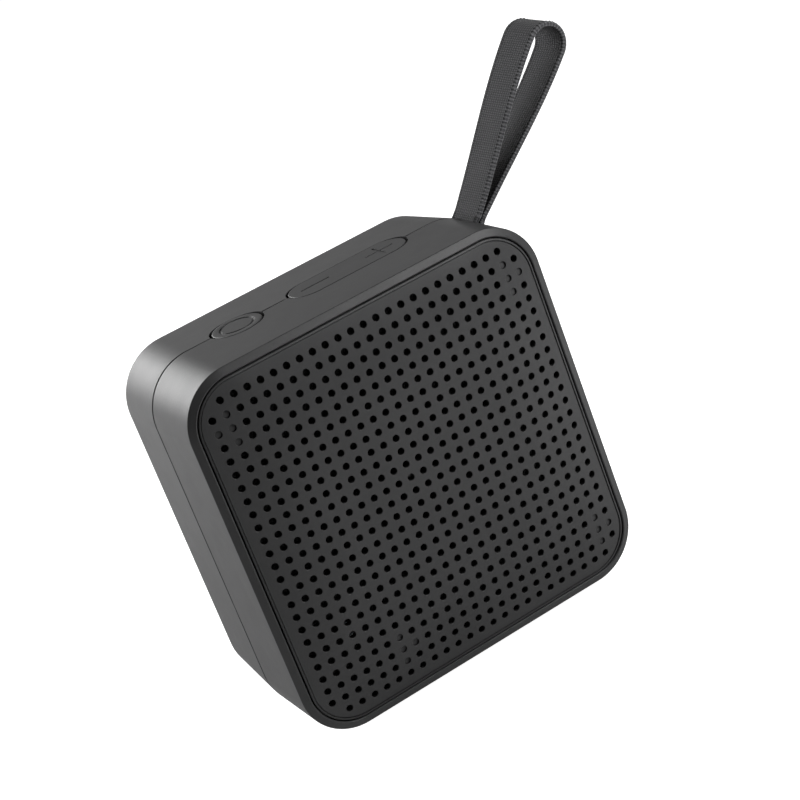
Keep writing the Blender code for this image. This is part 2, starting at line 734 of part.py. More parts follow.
def make_charge_socket():
    low = (31.0, PORT_Y - 1.6, PORT_Z - 4.5)
    high = (38.0, PORT_Y + 1.6, PORT_Z + 4.5)
    socket = add_mesh("charge_socket", box(low, high), "steel", smooth=False)
    mouth = box((32.5, PORT_Y - 1.2, PORT_Z - 4.1), (39.0, PORT_Y + 1.2, PORT_Z + 4.1))
    cut(socket, add_mesh("socket_mouth", mouth, "steel"))
    return socket


# Electronics

BOARD_SCREWS = ((-26.0, -22.0), (16.5, -9.2))
BOARD_LOW = (-30.0, -26.4)
BOARD_HIGH = (32.0, -5.6)


def make_main_board():
    low = (BOARD_LOW[0], MAIN_BOARD_Y, BOARD_LOW[1])
    high = (BOARD_HIGH[0], MAIN_BOARD_Y + BOARD, BOARD_HIGH[1])
    board = add_mesh("main_board", box(low, high), "board", smooth=False)
    for i, (x, z) in enumerate(BOARD_SCREWS):
        hole = rod_y(x, z, 1.35, MAIN_BOARD_Y - 2, MAIN_BOARD_Y + BOARD + 2)
        cut(board, add_mesh(f"board_hole_{i + 1}", hole, "board"))
    return board


def make_block(name, low, high, finish, radius=0.0):
    """A plain block, with its edges rounded when radius is given."""
    block = add_mesh(name, box(low, high), finish, smooth=False)
    if radius:
        bevel = block.modifiers.new("edges", "BEVEL")
        bevel.width = radius * MM
        bevel.segments = 2
    return block


def make_electronics():
    make_main_board()
    back = MAIN_BOARD_Y + BOARD + GAP
    make_block("radio_module", (-8.0, back, -22.0), (6.0, back + 1.8, -12.0), "steel", 0.3)
    make_charge_socket()
    make_block("battery_cell", (-26.0, 10.2, -3.0), (24.0, 18.2, 27.0), "cell", 1.0)
    make_block("battery_pad", (-20.0, 18.5, 1.0), (18.0, BACK_INNER_Y - GAP, 23.0), "foam")
    microphone = rod_y(25.0, -25.0, 3.0, BAFFLE_FRONT - 2.8, BAFFLE_FRONT - GAP, 20)
    add_mesh("microphone", microphone, "coated")
    led = [
        (0.0, BAFFLE_FRONT - 4.2), (0.9, BAFFLE_FRONT - 3.9), (1.5, BAFFLE_FRONT - 2.8),
        (1.5, BAFFLE_FRONT - 1.0), (1.9, BAFFLE_FRONT - 1.0), (1.9, BAFFLE_FRONT - GAP),
        (0.0, BAFFLE_FRONT - GAP),
    ]
    turned("status_led", led, "lens", x=-26.0, z=-24.0, steps=16, ring=False)


# Driver

DRIVER_SCREW_ANGLES = (45, 135, 225, 315)
TERMINAL_ANGLE = math.radians(37)


def polar(radius, degrees):
    angle = math.radians(degrees)
    return radius * math.cos(angle), radius * math.sin(angle)


def make_driver():
    """The loudspeaker: fixed frame and magnet, and the cone with its coil."""
    basket = turned("driver_basket", (
        (22.6, -14.6), (DRIVER_FLANGE_R, -14.6), (DRIVER_FLANGE_R, -13.5), (23.1, -13.5),
        (22.7, -10.0), (17.2, -6.2), (16.2, -6.2), (16.2, -3.6), (8.0, -3.6), (8.0, -4.5),
        (15.3, -4.5), (15.3, -7.0), (16.8, -7.0), (21.9, -10.4),
    ), "coated")
    gasket = turned("driver_gasket", (
        (23.8, -13.2), (27.2, -13.2), (27.2, -12.7), (23.8, -12.7),
    ), "foam")
    for part in (basket, gasket):
        for i, angle in enumerate(DRIVER_SCREW_ANGLES):
            x, z = polar(DRIVER_SCREW_R, angle)
            hole = rod_y(x, z, 1.1, -17.0, -12.0)
            cut(part, add_mesh(f"{part.name}_hole_{i + 1}", hole, "steel"))
    roll_middle, roll_radius, rubber = 20.0, 2.2, 0.5
    outer_roll, inner_roll = [], []
    for step in range(7):
        angle = math.radians(180 - 180 * step / 6)
        cosine, sine = math.cos(angle), math.sin(angle)
        outer_roll.append((roll_middle + roll_radius * cosine, -15.4 - roll_radius * sine))
        inner = roll_radius - rubber
        inner_roll.append((roll_middle + inner * cosine, -14.9 - inner * sine))
    profile = [(16.4, -15.4)] + outer_roll + [(23.6, -15.4), (23.6, -14.9)]
    turned("surround", profile + inner_roll[::-1] + [(16.4, -14.9)], "rubber")
    turned("cone", (
        (16.6, -14.6), (17.6, -14.6), (17.6, -14.1), (7.0, -9.4), (6.3, -9.4), (6.7, -10.2),
    ), "cone")
    cap_r, cap_rise, cap_front = 8.2, 4.5, -15.9
    cap, inside = [], []
    for step in range(6):
        angle = math.radians(86 * step / 5)
        sine, cosine = math.sin(angle), math.cos(angle)
        cap.append((cap_r * sine, cap_front + cap_rise * (1 - cosine)))
        inside.append(((cap_r - 0.4) * sine, cap_front + 0.4 + (cap_rise - 0.4) * (1 - cosine)))
    turned("dust_cap", cap + inside[::-1], "gloss", ring=False)
    turned("voice_coil", (
        (5.9, -9.2), (6.2, -9.2), (6.2, -4.2), (6.7, -4.2), (6.7, -1.8), (5.9, -1.8),
    ), "coil")
    waves = [(6.5 + 9.8 * i / 8, -7.9 + 0.35 * (-1) ** i) for i in range(9)]
    below = [(r, y + 0.35) for r, y in waves[::-1]]
    turned("spider", waves + below, "spider")
    turned("top_plate", ((7.2, -3.3), (14.0, -3.3), (14.0, -0.8), (7.2, -0.8)), "steel")
    turned("magnet", ((8.5, -0.5), (15.5, -0.5), (15.5, 5.5), (8.5, 5.5)), "ferrite")
    tag = box((16.6, -5.6, -3.5), (20.6, -4.8, 3.5))
    add_mesh("driver_terminal", tag, "board", turn=(0, TERMINAL_ANGLE, 0), smooth=False)
    turned("yoke", (
        (0.0, -3.0), (5.4, -3.0), (5.4, 5.8), (14.5, 5.8), (14.5, 7.9), (14.0, 8.3), (0.0, 8.3),
    ), "steel", ring=False)


# Screws and leads


def make_screw(
    name, x, z, head_y, length, towards_front=True, head_r=1.9, shank_r=0.75, finish="steel"
):
    """A cross-head screw along Y. Its head's free face is at head_y."""
    sign = -1.0 if towards_front else 1.0
    head = rod_y(x, z, head_r, *sorted((head_y, head_y + sign * 1.2)), 16)
    screw = add_mesh(name, head, finish)
    start, end = head_y + sign * 1.0, head_y + sign * (1.2 + length)
    shank = rod_y(x, z, shank_r, *sorted((start, end)))
    join(screw, add_mesh(name + "_shank", shank, finish))
    reach = head_y + sign * 0.6
    near, far = sorted((head_y - sign * 0.5, reach))
    for i, (half_x, half_z) in enumerate(((1.1, 0.25), (0.25, 1.1))):
        slot = box((x - half_x, near, z - half_z), (x + half_x, far, z + half_z))
        cut(screw, add_mesh(f"{name}_slot_{i + 1}", slot, finish))
    return screw


def make_bracket_screw(name, x):
    head_z = BRACKET_TOP - 1.2 - GAP - 1.2
    head = rod_z(x, BRACKET_SCREW_Y, 1.9, head_z, head_z + 1.2, 16)
    screw = add_mesh(name, head, "steel")
    shank = rod_z(x, BRACKET_SCREW_Y, 0.75, head_z + 1.0, 39.0)
    join(screw, add_mesh(name + "_shank", shank, "steel"))
    return screw


def make_screws():
    for i, (x, z) in enumerate(POSTS):
        head_y = COUNTERBORE_Y + GAP + 1.2
        make_screw(f"case_screw_{i + 1}", x, z, head_y, 14.0, head_r=2.2, shank_r=0.75)
    for i, angle in enumerate(DRIVER_SCREW_ANGLES):
        x, z = polar(DRIVER_SCREW_R, angle)
        name = f"driver_screw_{i + 1}"
        make_screw(name, x, z, -16.1, 3.4, False, head_r=1.7, finish="coated")
    for i, (x, z) in enumerate(BOARD_SCREWS):
        head_y = MAIN_BOARD_Y - GAP - 1.2
        make_screw(f"board_screw_{i + 1}", x, z, head_y, 5.0, False, head_r=1.9)
    for i, x in enumerate(BRACKET_SCREW_X):
        make_bracket_screw(f"bracket_screw_{i + 1}", x)


def make_lead(name, route, radius, finish="lead"):
    """A short wire held at both ends, along a smooth curve through route."""
    curve = bpy.data.curves.new(name, "CURVE")
    curve.dimensions = "3D"
    curve.bevel_depth = radius * MM
    curve.bevel_resolution = 2
    curve.use_fill_caps = True
    points = smooth_route([Vector(point) for point in route])
    spline = curve.splines.new("POLY")
    spline.points.add(len(points) - 1)
    for target, point in zip(spline.points, points):
        target.co = (point.x * MM, point.y * MM, (point.z + CENTRE_Z) * MM, 1.0)
    curve.materials.append(material(finish))
    lead = bpy.data.objects.new(name, curve)
    SPEAKER.objects.link(lead)
    return lead


def smooth_route(points, steps=4):
    """Catmull-Rom points through the route."""
    ends = [2 * points[0] - points[1]] + points + [2 * points[-1] - points[-2]]
    made = []
    for a, b, c, d in zip(ends, ends[1:], ends[2:], ends[3:]):
        for step in range(steps):
            t = step / steps
            made.append(0.5 * (
                2 * b + (c - a) * t + (2 * a - 5 * b + 4 * c - d) * t**2
                + (3 * b - a - 3 * c + d) * t**3
            ))
    return made + [points[-1]]


def make_ribbon():
    """Flat cable from the button board down to the main board, in front of the battery."""
    half_width, thickness = 1.8, 0.3
    x = 23.0
    route = ((7.55, 35.2), (8.6, 34.9), (9.4, 33.2), (9.45, 30.0), (9.45, -2.0), (9.9, -8.0))
    sections = []
    last = len(route) - 1
    for i, (y, z) in enumerate(route):
        before, after = Vector(route[max(i - 1, 0)]), Vector(route[min(i + 1, last)])
        run = (after - before).normalized()
        side = Vector((run.y, -run.x)) * thickness / 2
        sections.append([
            (x - half_width, y + side.x, z + side.y), (x + half_width, y + side.x, z + side.y),
            (x + half_width, y - side.x, z - side.y), (x - half_width, y - side.x, z - side.y),
        ])
    return add_mesh("button_ribbon", loft(sections), "coil", smooth=False)


def make_leads():
    make_ribbon()
    speaker_route = (
        (14.9, -4.4, -11.2), (15.2, -2.5, -11.6), (15.6, 1.5, -12.2), (14.6, 6.0, -13.0),
        (12.6, 8.4, -14.0), (11.8, 9.85, -14.6),
    )
    make_lead("speaker_lead", speaker_route, 0.6)
    battery_route = (
        (-20.0, 14.2, -3.5), (-20.0, 14.5, -5.0), (-20.0, 14.5, -7.0), (-20.0, 13.9, -9.0),
        (-20.0, 13.1, -10.5),
    )
    make_lead("battery_lead", battery_route, 0.6)


def build():
    make_grille_panel()
    make_front_shell()
    make_rear_shell()
    make_case_seal()
    make_foot_pad()
    power = make_power_button()
    rocker = make_volume_rocker()
    make_button_bracket()
    make_button_board()
    make_tact_switch("tact_switch_power", POWER_X)
    make_tact_switch("tact_switch_minus", ROCKER_X - SWITCH_REACH)
    make_tact_switch("tact_switch_plus", ROCKER_X + SWITCH_REACH)
    make_strap_loop()
    make_strap_tail()
    make_strap_pin()
    flap = make_port_flap()
    make_electronics()
    make_driver()
    make_screws()
    make_leads()
    moved(power, (POWER_X, PARTING_Y, FLANGE_BOTTOM))
    moved(rocker, (ROCKER_X, PARTING_Y, FLANGE_BOTTOM))
    pivot_z = PORT_Z - FLAP_LENGTH / 2 + PIVOT_INSET
    moved(flap, on_right_wall(-FLAP_THICKNESS / 2, PORT_Y, pivot_z), (0, 0, DRAFT))


clear_scene()
SPEAKER = collection("shower_speaker")
CUTTERS = collection("cutters")
build()
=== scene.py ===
"""The looks of the square shower speaker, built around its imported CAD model.

Lengths are in millimetres. X and Z are measured from the centre of the square case and Y from
mid depth, until placed() turns a mesh into metres in the row frame.
"""
import math

import bmesh
import bpy
from mathutils import Matrix, Vector


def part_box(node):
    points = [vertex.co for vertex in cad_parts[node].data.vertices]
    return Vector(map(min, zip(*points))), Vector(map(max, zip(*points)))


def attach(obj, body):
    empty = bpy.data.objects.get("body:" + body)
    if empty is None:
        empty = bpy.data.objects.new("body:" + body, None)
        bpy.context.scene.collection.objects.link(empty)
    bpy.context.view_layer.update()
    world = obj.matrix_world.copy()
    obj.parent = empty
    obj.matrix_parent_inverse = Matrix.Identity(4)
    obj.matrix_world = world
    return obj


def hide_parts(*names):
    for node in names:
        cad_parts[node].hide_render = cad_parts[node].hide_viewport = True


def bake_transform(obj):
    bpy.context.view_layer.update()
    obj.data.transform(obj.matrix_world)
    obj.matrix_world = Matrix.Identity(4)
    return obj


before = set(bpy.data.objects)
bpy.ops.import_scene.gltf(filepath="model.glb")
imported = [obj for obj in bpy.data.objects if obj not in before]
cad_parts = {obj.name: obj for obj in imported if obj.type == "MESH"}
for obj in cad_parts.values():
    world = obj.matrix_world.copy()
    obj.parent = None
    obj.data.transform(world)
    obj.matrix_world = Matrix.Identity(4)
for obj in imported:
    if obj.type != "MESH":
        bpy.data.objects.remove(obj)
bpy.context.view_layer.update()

MM = 0.001
ROOT_2 = math.sqrt(2)


def extent(node):
    """Lowest and highest corner of a CAD node, in millimetres in the row frame."""
    low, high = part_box(node)
    return low / MM, high / MM


# Sizes read from the CAD model

case_low, case_high = extent("front_shell")
CASE_HALF = (case_high.x - case_low.x) / 2
CENTRE_Z = (case_high.z + case_low.z) / 2
GAP = 0.3
PARTING_Y = case_high.y + GAP / 2
FRONT_Y = extent("grille_panel")[0].y
BACK_Y = extent("rear_shell")[1].y
PANEL_HALF = extent("grille_panel")[1].x
POWER_X = (extent("power_button")[0].x + extent("power_button")[1].x) / 2
ROCKER_X = (extent("volume_rocker")[0].x + extent("volume_rocker")[1].x) / 2
BUTTON_TOP = extent("power_button")[1].z - CENTRE_Z
STRAP_Y = (extent("strap_loop")[0].y + extent("strap_loop")[1].y) / 2
STRAP_WIDTH = extent("strap_loop")[1].y - extent("strap_loop")[0].y
FOOT_TOP = extent("foot_pad")[1].z
FOOT_HALF_X = extent("foot_pad")[1].x
FOOT_HALF_Y = extent("foot_pad")[1].y

# Case
CORNER_R = 12.15
BACK_HALF = 41.85
BACK_CORNER_R = 12.5
WALL = 2.0
SEAM = 0.44                     # groove between the two shells
SEAM_DEPTH = 0.45
SEAM_SHUT = 0.1                 # gap between them under the groove
DRAFT = math.atan((CASE_HALF - BACK_HALF) / (BACK_Y - PARTING_Y))
DOME_FLAT = 21.7
DOME_R = 68.2
BEZEL_Y = FRONT_Y + 3.2
BEZEL_PROUD = 0.3               # how far its inner lip stands out from the dome's line
REBATE_HALF = PANEL_HALF + 0.3
REBATE_Y = FRONT_Y + 4.45
BAFFLE_FRONT = FRONT_Y + 9.15
BAFFLE_BACK = BAFFLE_FRONT + 2.0
BACK_INNER_Y = BACK_Y - 2.2
DRIVER_HOLE_R = 23.5
POSTS = ((-34.9, 31.0), (34.9, 31.0), (-17.8, -31.0), (34.9, -31.0))
BOARD_SCREWS = ((-26.0, -22.0), (16.5, -9.2))
BOARD_BACK_Y = 12.1
BRACKET_SCREW_X = (-28.5, 28.5)
BRACKET_SCREW_Y = -4.0
BRACKET_TOP = 34.4
PIN_R = 1.0
PILOT_R = 1.05                  # holes the screws cut their thread in
POST_R = 3.4                    # the front shell's screw posts
TUBE_R = 3.9                    # and the rear shell's tubes behind them
BOSS_R = 2.2
SHANK_HOLE_R = 1.45
HEAD_WELL_R = 2.7
HEAD_WELL_Y = 9.0               # where the wells for the screw heads end
DRIVER_SCREWS_R = 25.5
BACK_EDGE_R = 0.6
SLOT_HALF = 1.7                 # the strap's slot, across the diagonal
SLOT_CORNER_R = 0.8
SLOT_CLEARANCE = 0.45           # past each edge of the webbing
EDGE_SOFTENING = 0.14
SHELL_EDGE_R = 0.2              # round edge of either shell at the groove
FOOT_CORNER_R = 4.0
FOOT_RECESS = 0.5

# Grille
PITCH = 3.1
HOLES = 12                      # the holes run from -HOLES to HOLES both ways
HOLE_R = 0.79
HOLE_CHAMFER = 0.08
BLIND_DEPTH = 0.45
LEVEL_R = 11.8                  # corner radius of the dome's level lines
PANEL_CORNER_R = 10.0
RIM_WIDTH = 0.42                # raised edge round the panel
RIM_HEIGHT = 0.2
RIM_GROOVE = 0.16               # width and depth of the groove inside it
PANEL_THICKNESS = 1.5
SIDE_STEPS = 5                  # steps along each side of a hole's square cell
BLIND_HOLES = {
    (-11, 11), (-11, 10), (-12, 10), (-11, 9),
    (11, 11), (11, 10), (12, 10), (11, 9),
    (-6, -9), (-6, -10), (-5, -10), (-6, -11),
    (11, -9), (11, -10), (12, -10), (11, -11),
}

# Buttons
POWER_R = 5.95
BUTTON_GAP = 0.28               # extra gap round the caps above their flanges
ROCKER_HALF_LENGTH = 14.7
ROCKER_HALF_WIDTH = 5.4
FLANGE = 1.15
FLANGE_TOP = 40.0
FLANGE_BOTTOM = 39.0
STEM_BOTTOM = 38.0
WELL_BOTTOM = 38.5              # of the cutters for the buttons' holes
WELL_TOP = 45.0
CAP_EDGE_R = 0.3
SWITCH_REACH = 9.5
SIGN_REACH = 8.15               # from the rocker's middle to its minus and plus
SIGN_DEPTH = 0.28
STROKE_HALF = 0.28
MINUS_HALF = 3.6
PLUS_HALF = 3.55
UPRIGHT_HALF = 3.2              # of the plus, along the case's depth

# Strap
STRAP_ACROSS = -2.1
WEBBING = 1.04                  # its thickness
SELVEDGE_R = 0.4
MOUTH_ALONG = (CASE_HALF - CORNER_R) * ROOT_2 + CORNER_R
PIN_ALONG = 51.0
LOOP_CAP_ALONG = 96.4
LOOP_CAP_R = 4.45
LOOP_ROOT_GAP = 0.62
LOOP_LEAN = 0.35
PICK_PITCH = 0.5                # the weave's crossing threads
WARP_PITCH = 0.8                # and its long ones
STITCH_PITCH = 0.8
STITCH_INSET = 0.62             # from the webbing's edge to its row of stitches
STITCH_SINK = 0.2
BEAD_RISE = 0.05                # of the selvedge's thread between two stitches
TWIST_ROOT = math.radians(1.0)  # the loop is turned a little about its own length
TWIST_END = math.radians(6.0)

# Charge port
PORT_Y = 14.0
PORT_Z = -16.5
FLAP_LENGTH = 17.0
FLAP_WIDTH = 8.0
FLAP_THICKNESS = 1.0
FLAP_CORNER_R = 1.2
FLAP_EDGE_R = 0.25
SOCKET_HOLE = (2.0, 4.9, 1.95)  # half width, half length and corner radius
PLUG = (1.55, 4.4, 1.5)         # the same of the cover's plug
PLUG_REACH = 1.8

CORNER_STEPS = 24
ROUND_STEPS = 72
SMALL_STEPS = 24


# Mesh helpers


def placed(name, bm, finish, smooth_angle=35):
    """Makes bm, drawn in millimetres about the case's centre, an object in the row frame."""
    bmesh.ops.recalc_face_normals(bm, faces=bm.faces)
    bmesh.ops.translate(bm, vec=(0, 0, CENTRE_Z), verts=bm.verts)
    bmesh.ops.scale(bm, vec=(MM, MM, MM), verts=bm.verts)
    mesh = bpy.data.meshes.new(name)
    bm.to_mesh(mesh)
    bm.free()
    mesh.shade_smooth()
    mesh.set_sharp_from_angle(angle=math.radians(smooth_angle))
    mesh.materials.append(finish)
    obj = bpy.data.objects.new(name, mesh)
    bpy.context.scene.collection.objects.link(obj)
    return obj


def merged(parts):
    """One bmesh of several, which don't touch each other."""
    whole = bmesh.new()
    for part in parts:
        mesh = bpy.data.meshes.new("part")
        bmesh.ops.recalc_face_normals(part, faces=part.faces)
        part.to_mesh(mesh)
        part.free()
        whole.from_mesh(mesh)
        bpy.data.meshes.remove(mesh)
    return whole


def carved(body, added, removed):
    """body with added joined to it, then removed cut out of it, as a new bmesh."""
    base = bpy.data.objects.new("carved", bpy.data.meshes.new("carved"))
    bmesh.ops.recalc_face_normals(body, faces=body.faces)
    body.to_mesh(base.data)
    body.free()
    bpy.context.scene.collection.objects.link(base)
    tools = []
    for operation, parts in (("UNION", added), ("DIFFERENCE", removed)):
        if not parts:
            continue
        whole = merged(parts)
        mesh = bpy.data.meshes.new(operation)
        whole.to_mesh(mesh)
        whole.free()
        tool = bpy.data.objects.new(operation, mesh)
        bpy.context.scene.collection.objects.link(tool)
        tools.append(tool)
        modifier = base.modifiers.new(operation, "BOOLEAN")
        modifier.operation = operation
        modifier.solver = "EXACT"
        modifier.object = tool
    depsgraph = bpy.context.evaluated_depsgraph_get()
    result = bmesh.new()
    result.from_mesh(base.evaluated_get(depsgraph).to_mesh())
    for obj in [base] + tools:
        bpy.data.objects.remove(obj, do_unlink=True)
    return result


def soften(bm, on_skin, width, segments=2):
    """Rounds the sharp edges that lie on the skin."""
    sharp = [
        edge for edge in bm.edges
        if len(edge.link_faces) == 2
        and edge.calc_face_angle() > math.radians(40)
        and all(on_skin(vert.co) for vert in edge.verts)
    ]
    bmesh.ops.bevel(
        bm, geom=sharp, offset=width, segments=segments, profile=0.5, affect="EDGES",
        clamp_overlap=True,
    )
    return bm


def even_shading(obj):
    """Keeps flat faces flat next to small rounded edges."""
    modifier = obj.modifiers.new("even_shading", "WEIGHTED_NORMAL")
    modifier.keep_sharp = True
    modifier.weight = 100
    return obj


def rounded_rectangle(half_x, half_z, radius, steps=CORNER_STEPS):
    points = []
    corners = ((1, 1, 0), (-1, 1, 90), (-1, -1, 180), (1, -1, 270))
    for side_x, side_z, first in corners:
        centre_x = side_x * (half_x - radius)
        centre_z = side_z * (half_z - radius)
        for step in range(steps + 1):
            angle = math.radians(first + 90 * step / steps)
            x = centre_x + radius * math.cos(angle)
            z = centre_z + radius * math.sin(angle)
            points.append((x, z))
    return points


def circle(radius, steps=CORNER_STEPS):
    """A circle with as many points as a rounded rectangle, so that the two can be lofted."""
    points = []
    for quarter in range(4):
        for step in range(steps + 1):
            angle = math.radians(90 * quarter + 2 + 86 * step / steps)
            points.append((radius * math.cos(angle), radius * math.sin(angle)))
    return points


def loft(sections, ring=False):
    """Skins sections, each a list of (x, y, z) points. A ring closes on itself, others get caps."""
    bm = bmesh.new()
    loops = [[bm.verts.new(point) for point in section] for section in sections]
    pairs = list(zip(loops, loops[1:]))
    if ring:
        pairs.append((loops[-1], loops[0]))
    else:
        bm.faces.new(loops[0])
        bm.faces.new(loops[-1])
    count = len(loops[0])
    for one, two in pairs:
        for i in range(count):
            j = (i + 1) % count
            bm.faces.new((one[i], one[j], two[j], two[i]))
    return bm


def at_depth(outline, y):
    return [(x, y, z) for x, z in outline]


def at_height(outline, z):
    """The same outline lying flat: its second coordinate becomes depth."""
    return [(x, -second, z) for x, second in outline]


def shifted(bm, x=0.0, y=0.0, z=0.0):
    bmesh.ops.translate(bm, vec=(x, y, z), verts=bm.verts)
    return bm


def box(low, high):
    bm = bmesh.new()
    bmesh.ops.create_cube(bm, size=1.0)
    bmesh.ops.scale(bm, vec=Vector(high) - Vector(low), verts=bm.verts)
    bmesh.ops.translate(bm, vec=(Vector(high) + Vector(low)) / 2, verts=bm.verts)
    return bm


def rod_y(x, z, radius, front, back, steps=SMALL_STEPS):
    bm = bmesh.new()
    bmesh.ops.create_cone(
        bm, cap_ends=True, segments=steps, radius1=radius, radius2=radius, depth=back - front
    )
    bmesh.ops.rotate(bm, matrix=Matrix.Rotation(math.radians(90), 3, "X"), verts=bm.verts)
    return shifted(bm, x, (front + back) / 2, z)


def rod_z(x, y, radius, bottom, top, steps=SMALL_STEPS):
    bm = bmesh.new()
    bmesh.ops.create_cone(
        bm, cap_ends=True, segments=steps, radius1=radius, radius2=radius, depth=top - bottom
    )
    return shifted(bm, x, y, (bottom + top) / 2)


def arc(centre, radius, first, last, steps):
    """Points (across, along) on an arc, its angles in degrees."""
    points = []
    for step in range(steps + 1):
        angle = math.radians(first + (last - first) * step / steps)
        points.append((centre[0] + radius * math.cos(angle), centre[1] + radius * math.sin(angle)))
    return points


def on_diagonal(along, across):
    """(x, z) of a point given along and across the diagonal through the strap's corner."""
    return (along + across) / ROOT_2, (along - across) / ROOT_2


# Material helpers


def new_material(name):
    made = bpy.data.materials.new(name)
    made.use_nodes = True
    return made, made.node_tree, made.node_tree.nodes["Principled BSDF"]


def add(tree, kind, inputs=None, **settings):
    """Adds a node. An input may be a value or another node's output."""
    made = tree.nodes.new(kind)
    for name, value in settings.items():
        setattr(made, name, value)
    for name, value in (inputs or {}).items():
        if isinstance(value, bpy.types.NodeSocket):
            tree.links.new(value, made.inputs[name])
        else:
            made.inputs[name].default_value = value
    return made


def maths(tree, operation, one, two=0.0, clamp=False):
    node = add(tree, "ShaderNodeMath", {0: one, 1: two}, operation=operation, use_clamp=clamp)
    return node.outputs[0]


def noise(tree, place, grain, detail=2.0, roughness=0.5):
    """Noise whose patches are about grain millimetres across."""
    inputs = {"Vector": place, "Scale": 1.0 / (grain * MM)}
    inputs.update({"Detail": detail, "Roughness": roughness})
    return add(tree, "ShaderNodeTexNoise", inputs).outputs["Fac"]


def spread(tree, value, low, high, start=0.3, end=0.7):
    inputs = {"Value": value, "From Min": start, "From Max": end, "To Min": low, "To Max": high}
    return add(tree, "ShaderNodeMapRange", inputs).outputs["Result"]


def blended(tree, share, one, two):
    """Mixes two colours, or another node's colours, by share."""
    def colour(value):
        return value if isinstance(value, bpy.types.NodeSocket) else (*value, 1.0)

    node = add(tree, "ShaderNodeMix", data_type="RGBA")
    for index, value in ((0, share), (6, colour(one)), (7, colour(two))):
        if isinstance(value, bpy.types.NodeSocket):
            tree.links.new(value, node.inputs[index])
        else:
            node.inputs[index].default_value = value
    return node.outputs[2]


def shades(colour, change):
    """The colour a little darker and a little lighter."""
    darker = tuple(part * (1 - change) for part in colour)
    lighter = tuple(part * (1 + change) for part in colour)
    return darker, lighter


def moulded(name, colour, roughness, grain=0.45, relief=0.018, mottle=0.06, specular=0.4):
    """Moulded plastic, rubber or paint: a fine grain, and slight changes of shade and gloss."""
    made, tree, shader = new_material(name)
    place = add(tree, "ShaderNodeTexCoord").outputs["Object"]
    fine = noise(tree, place, grain, 3.0)
    slow = noise(tree, place, 14.0, 3.0)
    darker, lighter = shades(colour, mottle)
    shade = blended(tree, spread(tree, slow, 0.0, 1.0), darker, lighter)
    tree.links.new(shade, shader.inputs["Base Color"])
    uneven = spread(tree, noise(tree, place, 5.0, 4.0), roughness - 0.015, roughness + 0.015)
    tree.links.new(uneven, shader.inputs["Roughness"])
    inputs = {"Height": fine, "Distance": relief * MM, "Strength": 1.0}
    bump = add(tree, "ShaderNodeBump", inputs).outputs["Normal"]
    tree.links.new(bump, shader.inputs["Normal"])
    shader.inputs["Specular IOR Level"].default_value = specular
    return made


def metal(name, colour, roughness, streak=(1.0, 1.0, 1.0), grain=0.3, relief=0.004):
    """Plated, turned or drawn metal. streak stretches its marks along an axis."""
    made, tree, shader = new_material(name)
    place = add(tree, "ShaderNodeTexCoord").outputs["Object"]
    inputs = {"Vector": place, "Scale": streak}
    stretched = add(tree, "ShaderNodeMapping", inputs).outputs["Vector"]
    marks = noise(tree, stretched, grain, 4.0, 0.6)
    patina = noise(tree, place, 6.0, 4.0)
    darker, lighter = shades(colour, 0.15)
    shade = blended(tree, spread(tree, patina, 0.0, 1.0), darker, lighter)
    tree.links.new(shade, shader.inputs["Base Color"])
    uneven = spread(tree, marks, roughness - 0.08, roughness + 0.1)
    tree.links.new(uneven, shader.inputs["Roughness"])
    inputs = {"Height": marks, "Distance": relief * MM, "Strength": 1.0}
    bump = add(tree, "ShaderNodeBump", inputs).outputs["Normal"]
    tree.links.new(bump, shader.inputs["Normal"])
    shader.inputs["Metallic"].default_value = 1.0
    return made


def woven_cloth(name, colour, pitch, roughness=0.85):
    """Cloth seen on an inner part: a plain weave along X and Z."""
    made, tree, shader = new_material(name)
    place = add(tree, "ShaderNodeTexCoord").outputs["Object"]
    parts = add(tree, "ShaderNodeSeparateXYZ", {"Vector": place}).outputs
    turn = math.pi / (pitch * MM)
    across = maths(tree, "SINE", maths(tree, "MULTIPLY", parts["X"], turn))
    along = maths(tree, "SINE", maths(tree, "MULTIPLY", parts["Z"], turn))
    weave = maths(tree, "ABSOLUTE", maths(tree, "MULTIPLY", across, along))
    darker, lighter = shades(colour, 0.35)
    tree.links.new(blended(tree, weave, darker, lighter), shader.inputs["Base Color"])
    inputs = {"Height": weave, "Distance": 0.06 * MM, "Strength": 1.0}
    bump = add(tree, "ShaderNodeBump", inputs).outputs["Normal"]
    tree.links.new(bump, shader.inputs["Normal"])
    shader.inputs["Roughness"].default_value = roughness
    return made


def circuit_board(name):
    """Green solder mask over copper tracks, which show as paler lines."""
    made, tree, shader = new_material(name)
    place = add(tree, "ShaderNodeTexCoord").outputs["Object"]
    inputs = {"Vector": place, "Scale": 1.0 / (2.2 * MM), "Randomness": 0.35}
    tracks = add(tree, "ShaderNodeTexVoronoi", inputs, distance="CHEBYCHEV", feature="F1")
    lines = spread(tree, tracks.outputs["Distance"], 0.0, 1.0, 0.36, 0.4)
    colour = blended(tree, lines, (0.006, 0.06, 0.025), (0.02, 0.14, 0.06))
    tree.links.new(colour, shader.inputs["Base Color"])
    inputs = {"Height": lines, "Distance": 0.03 * MM, "Strength": 1.0}
    bump = add(tree, "ShaderNodeBump", inputs).outputs["Normal"]
    tree.links.new(bump, shader.inputs["Normal"])
    shader.inputs["Roughness"].default_value = 0.35
    return made


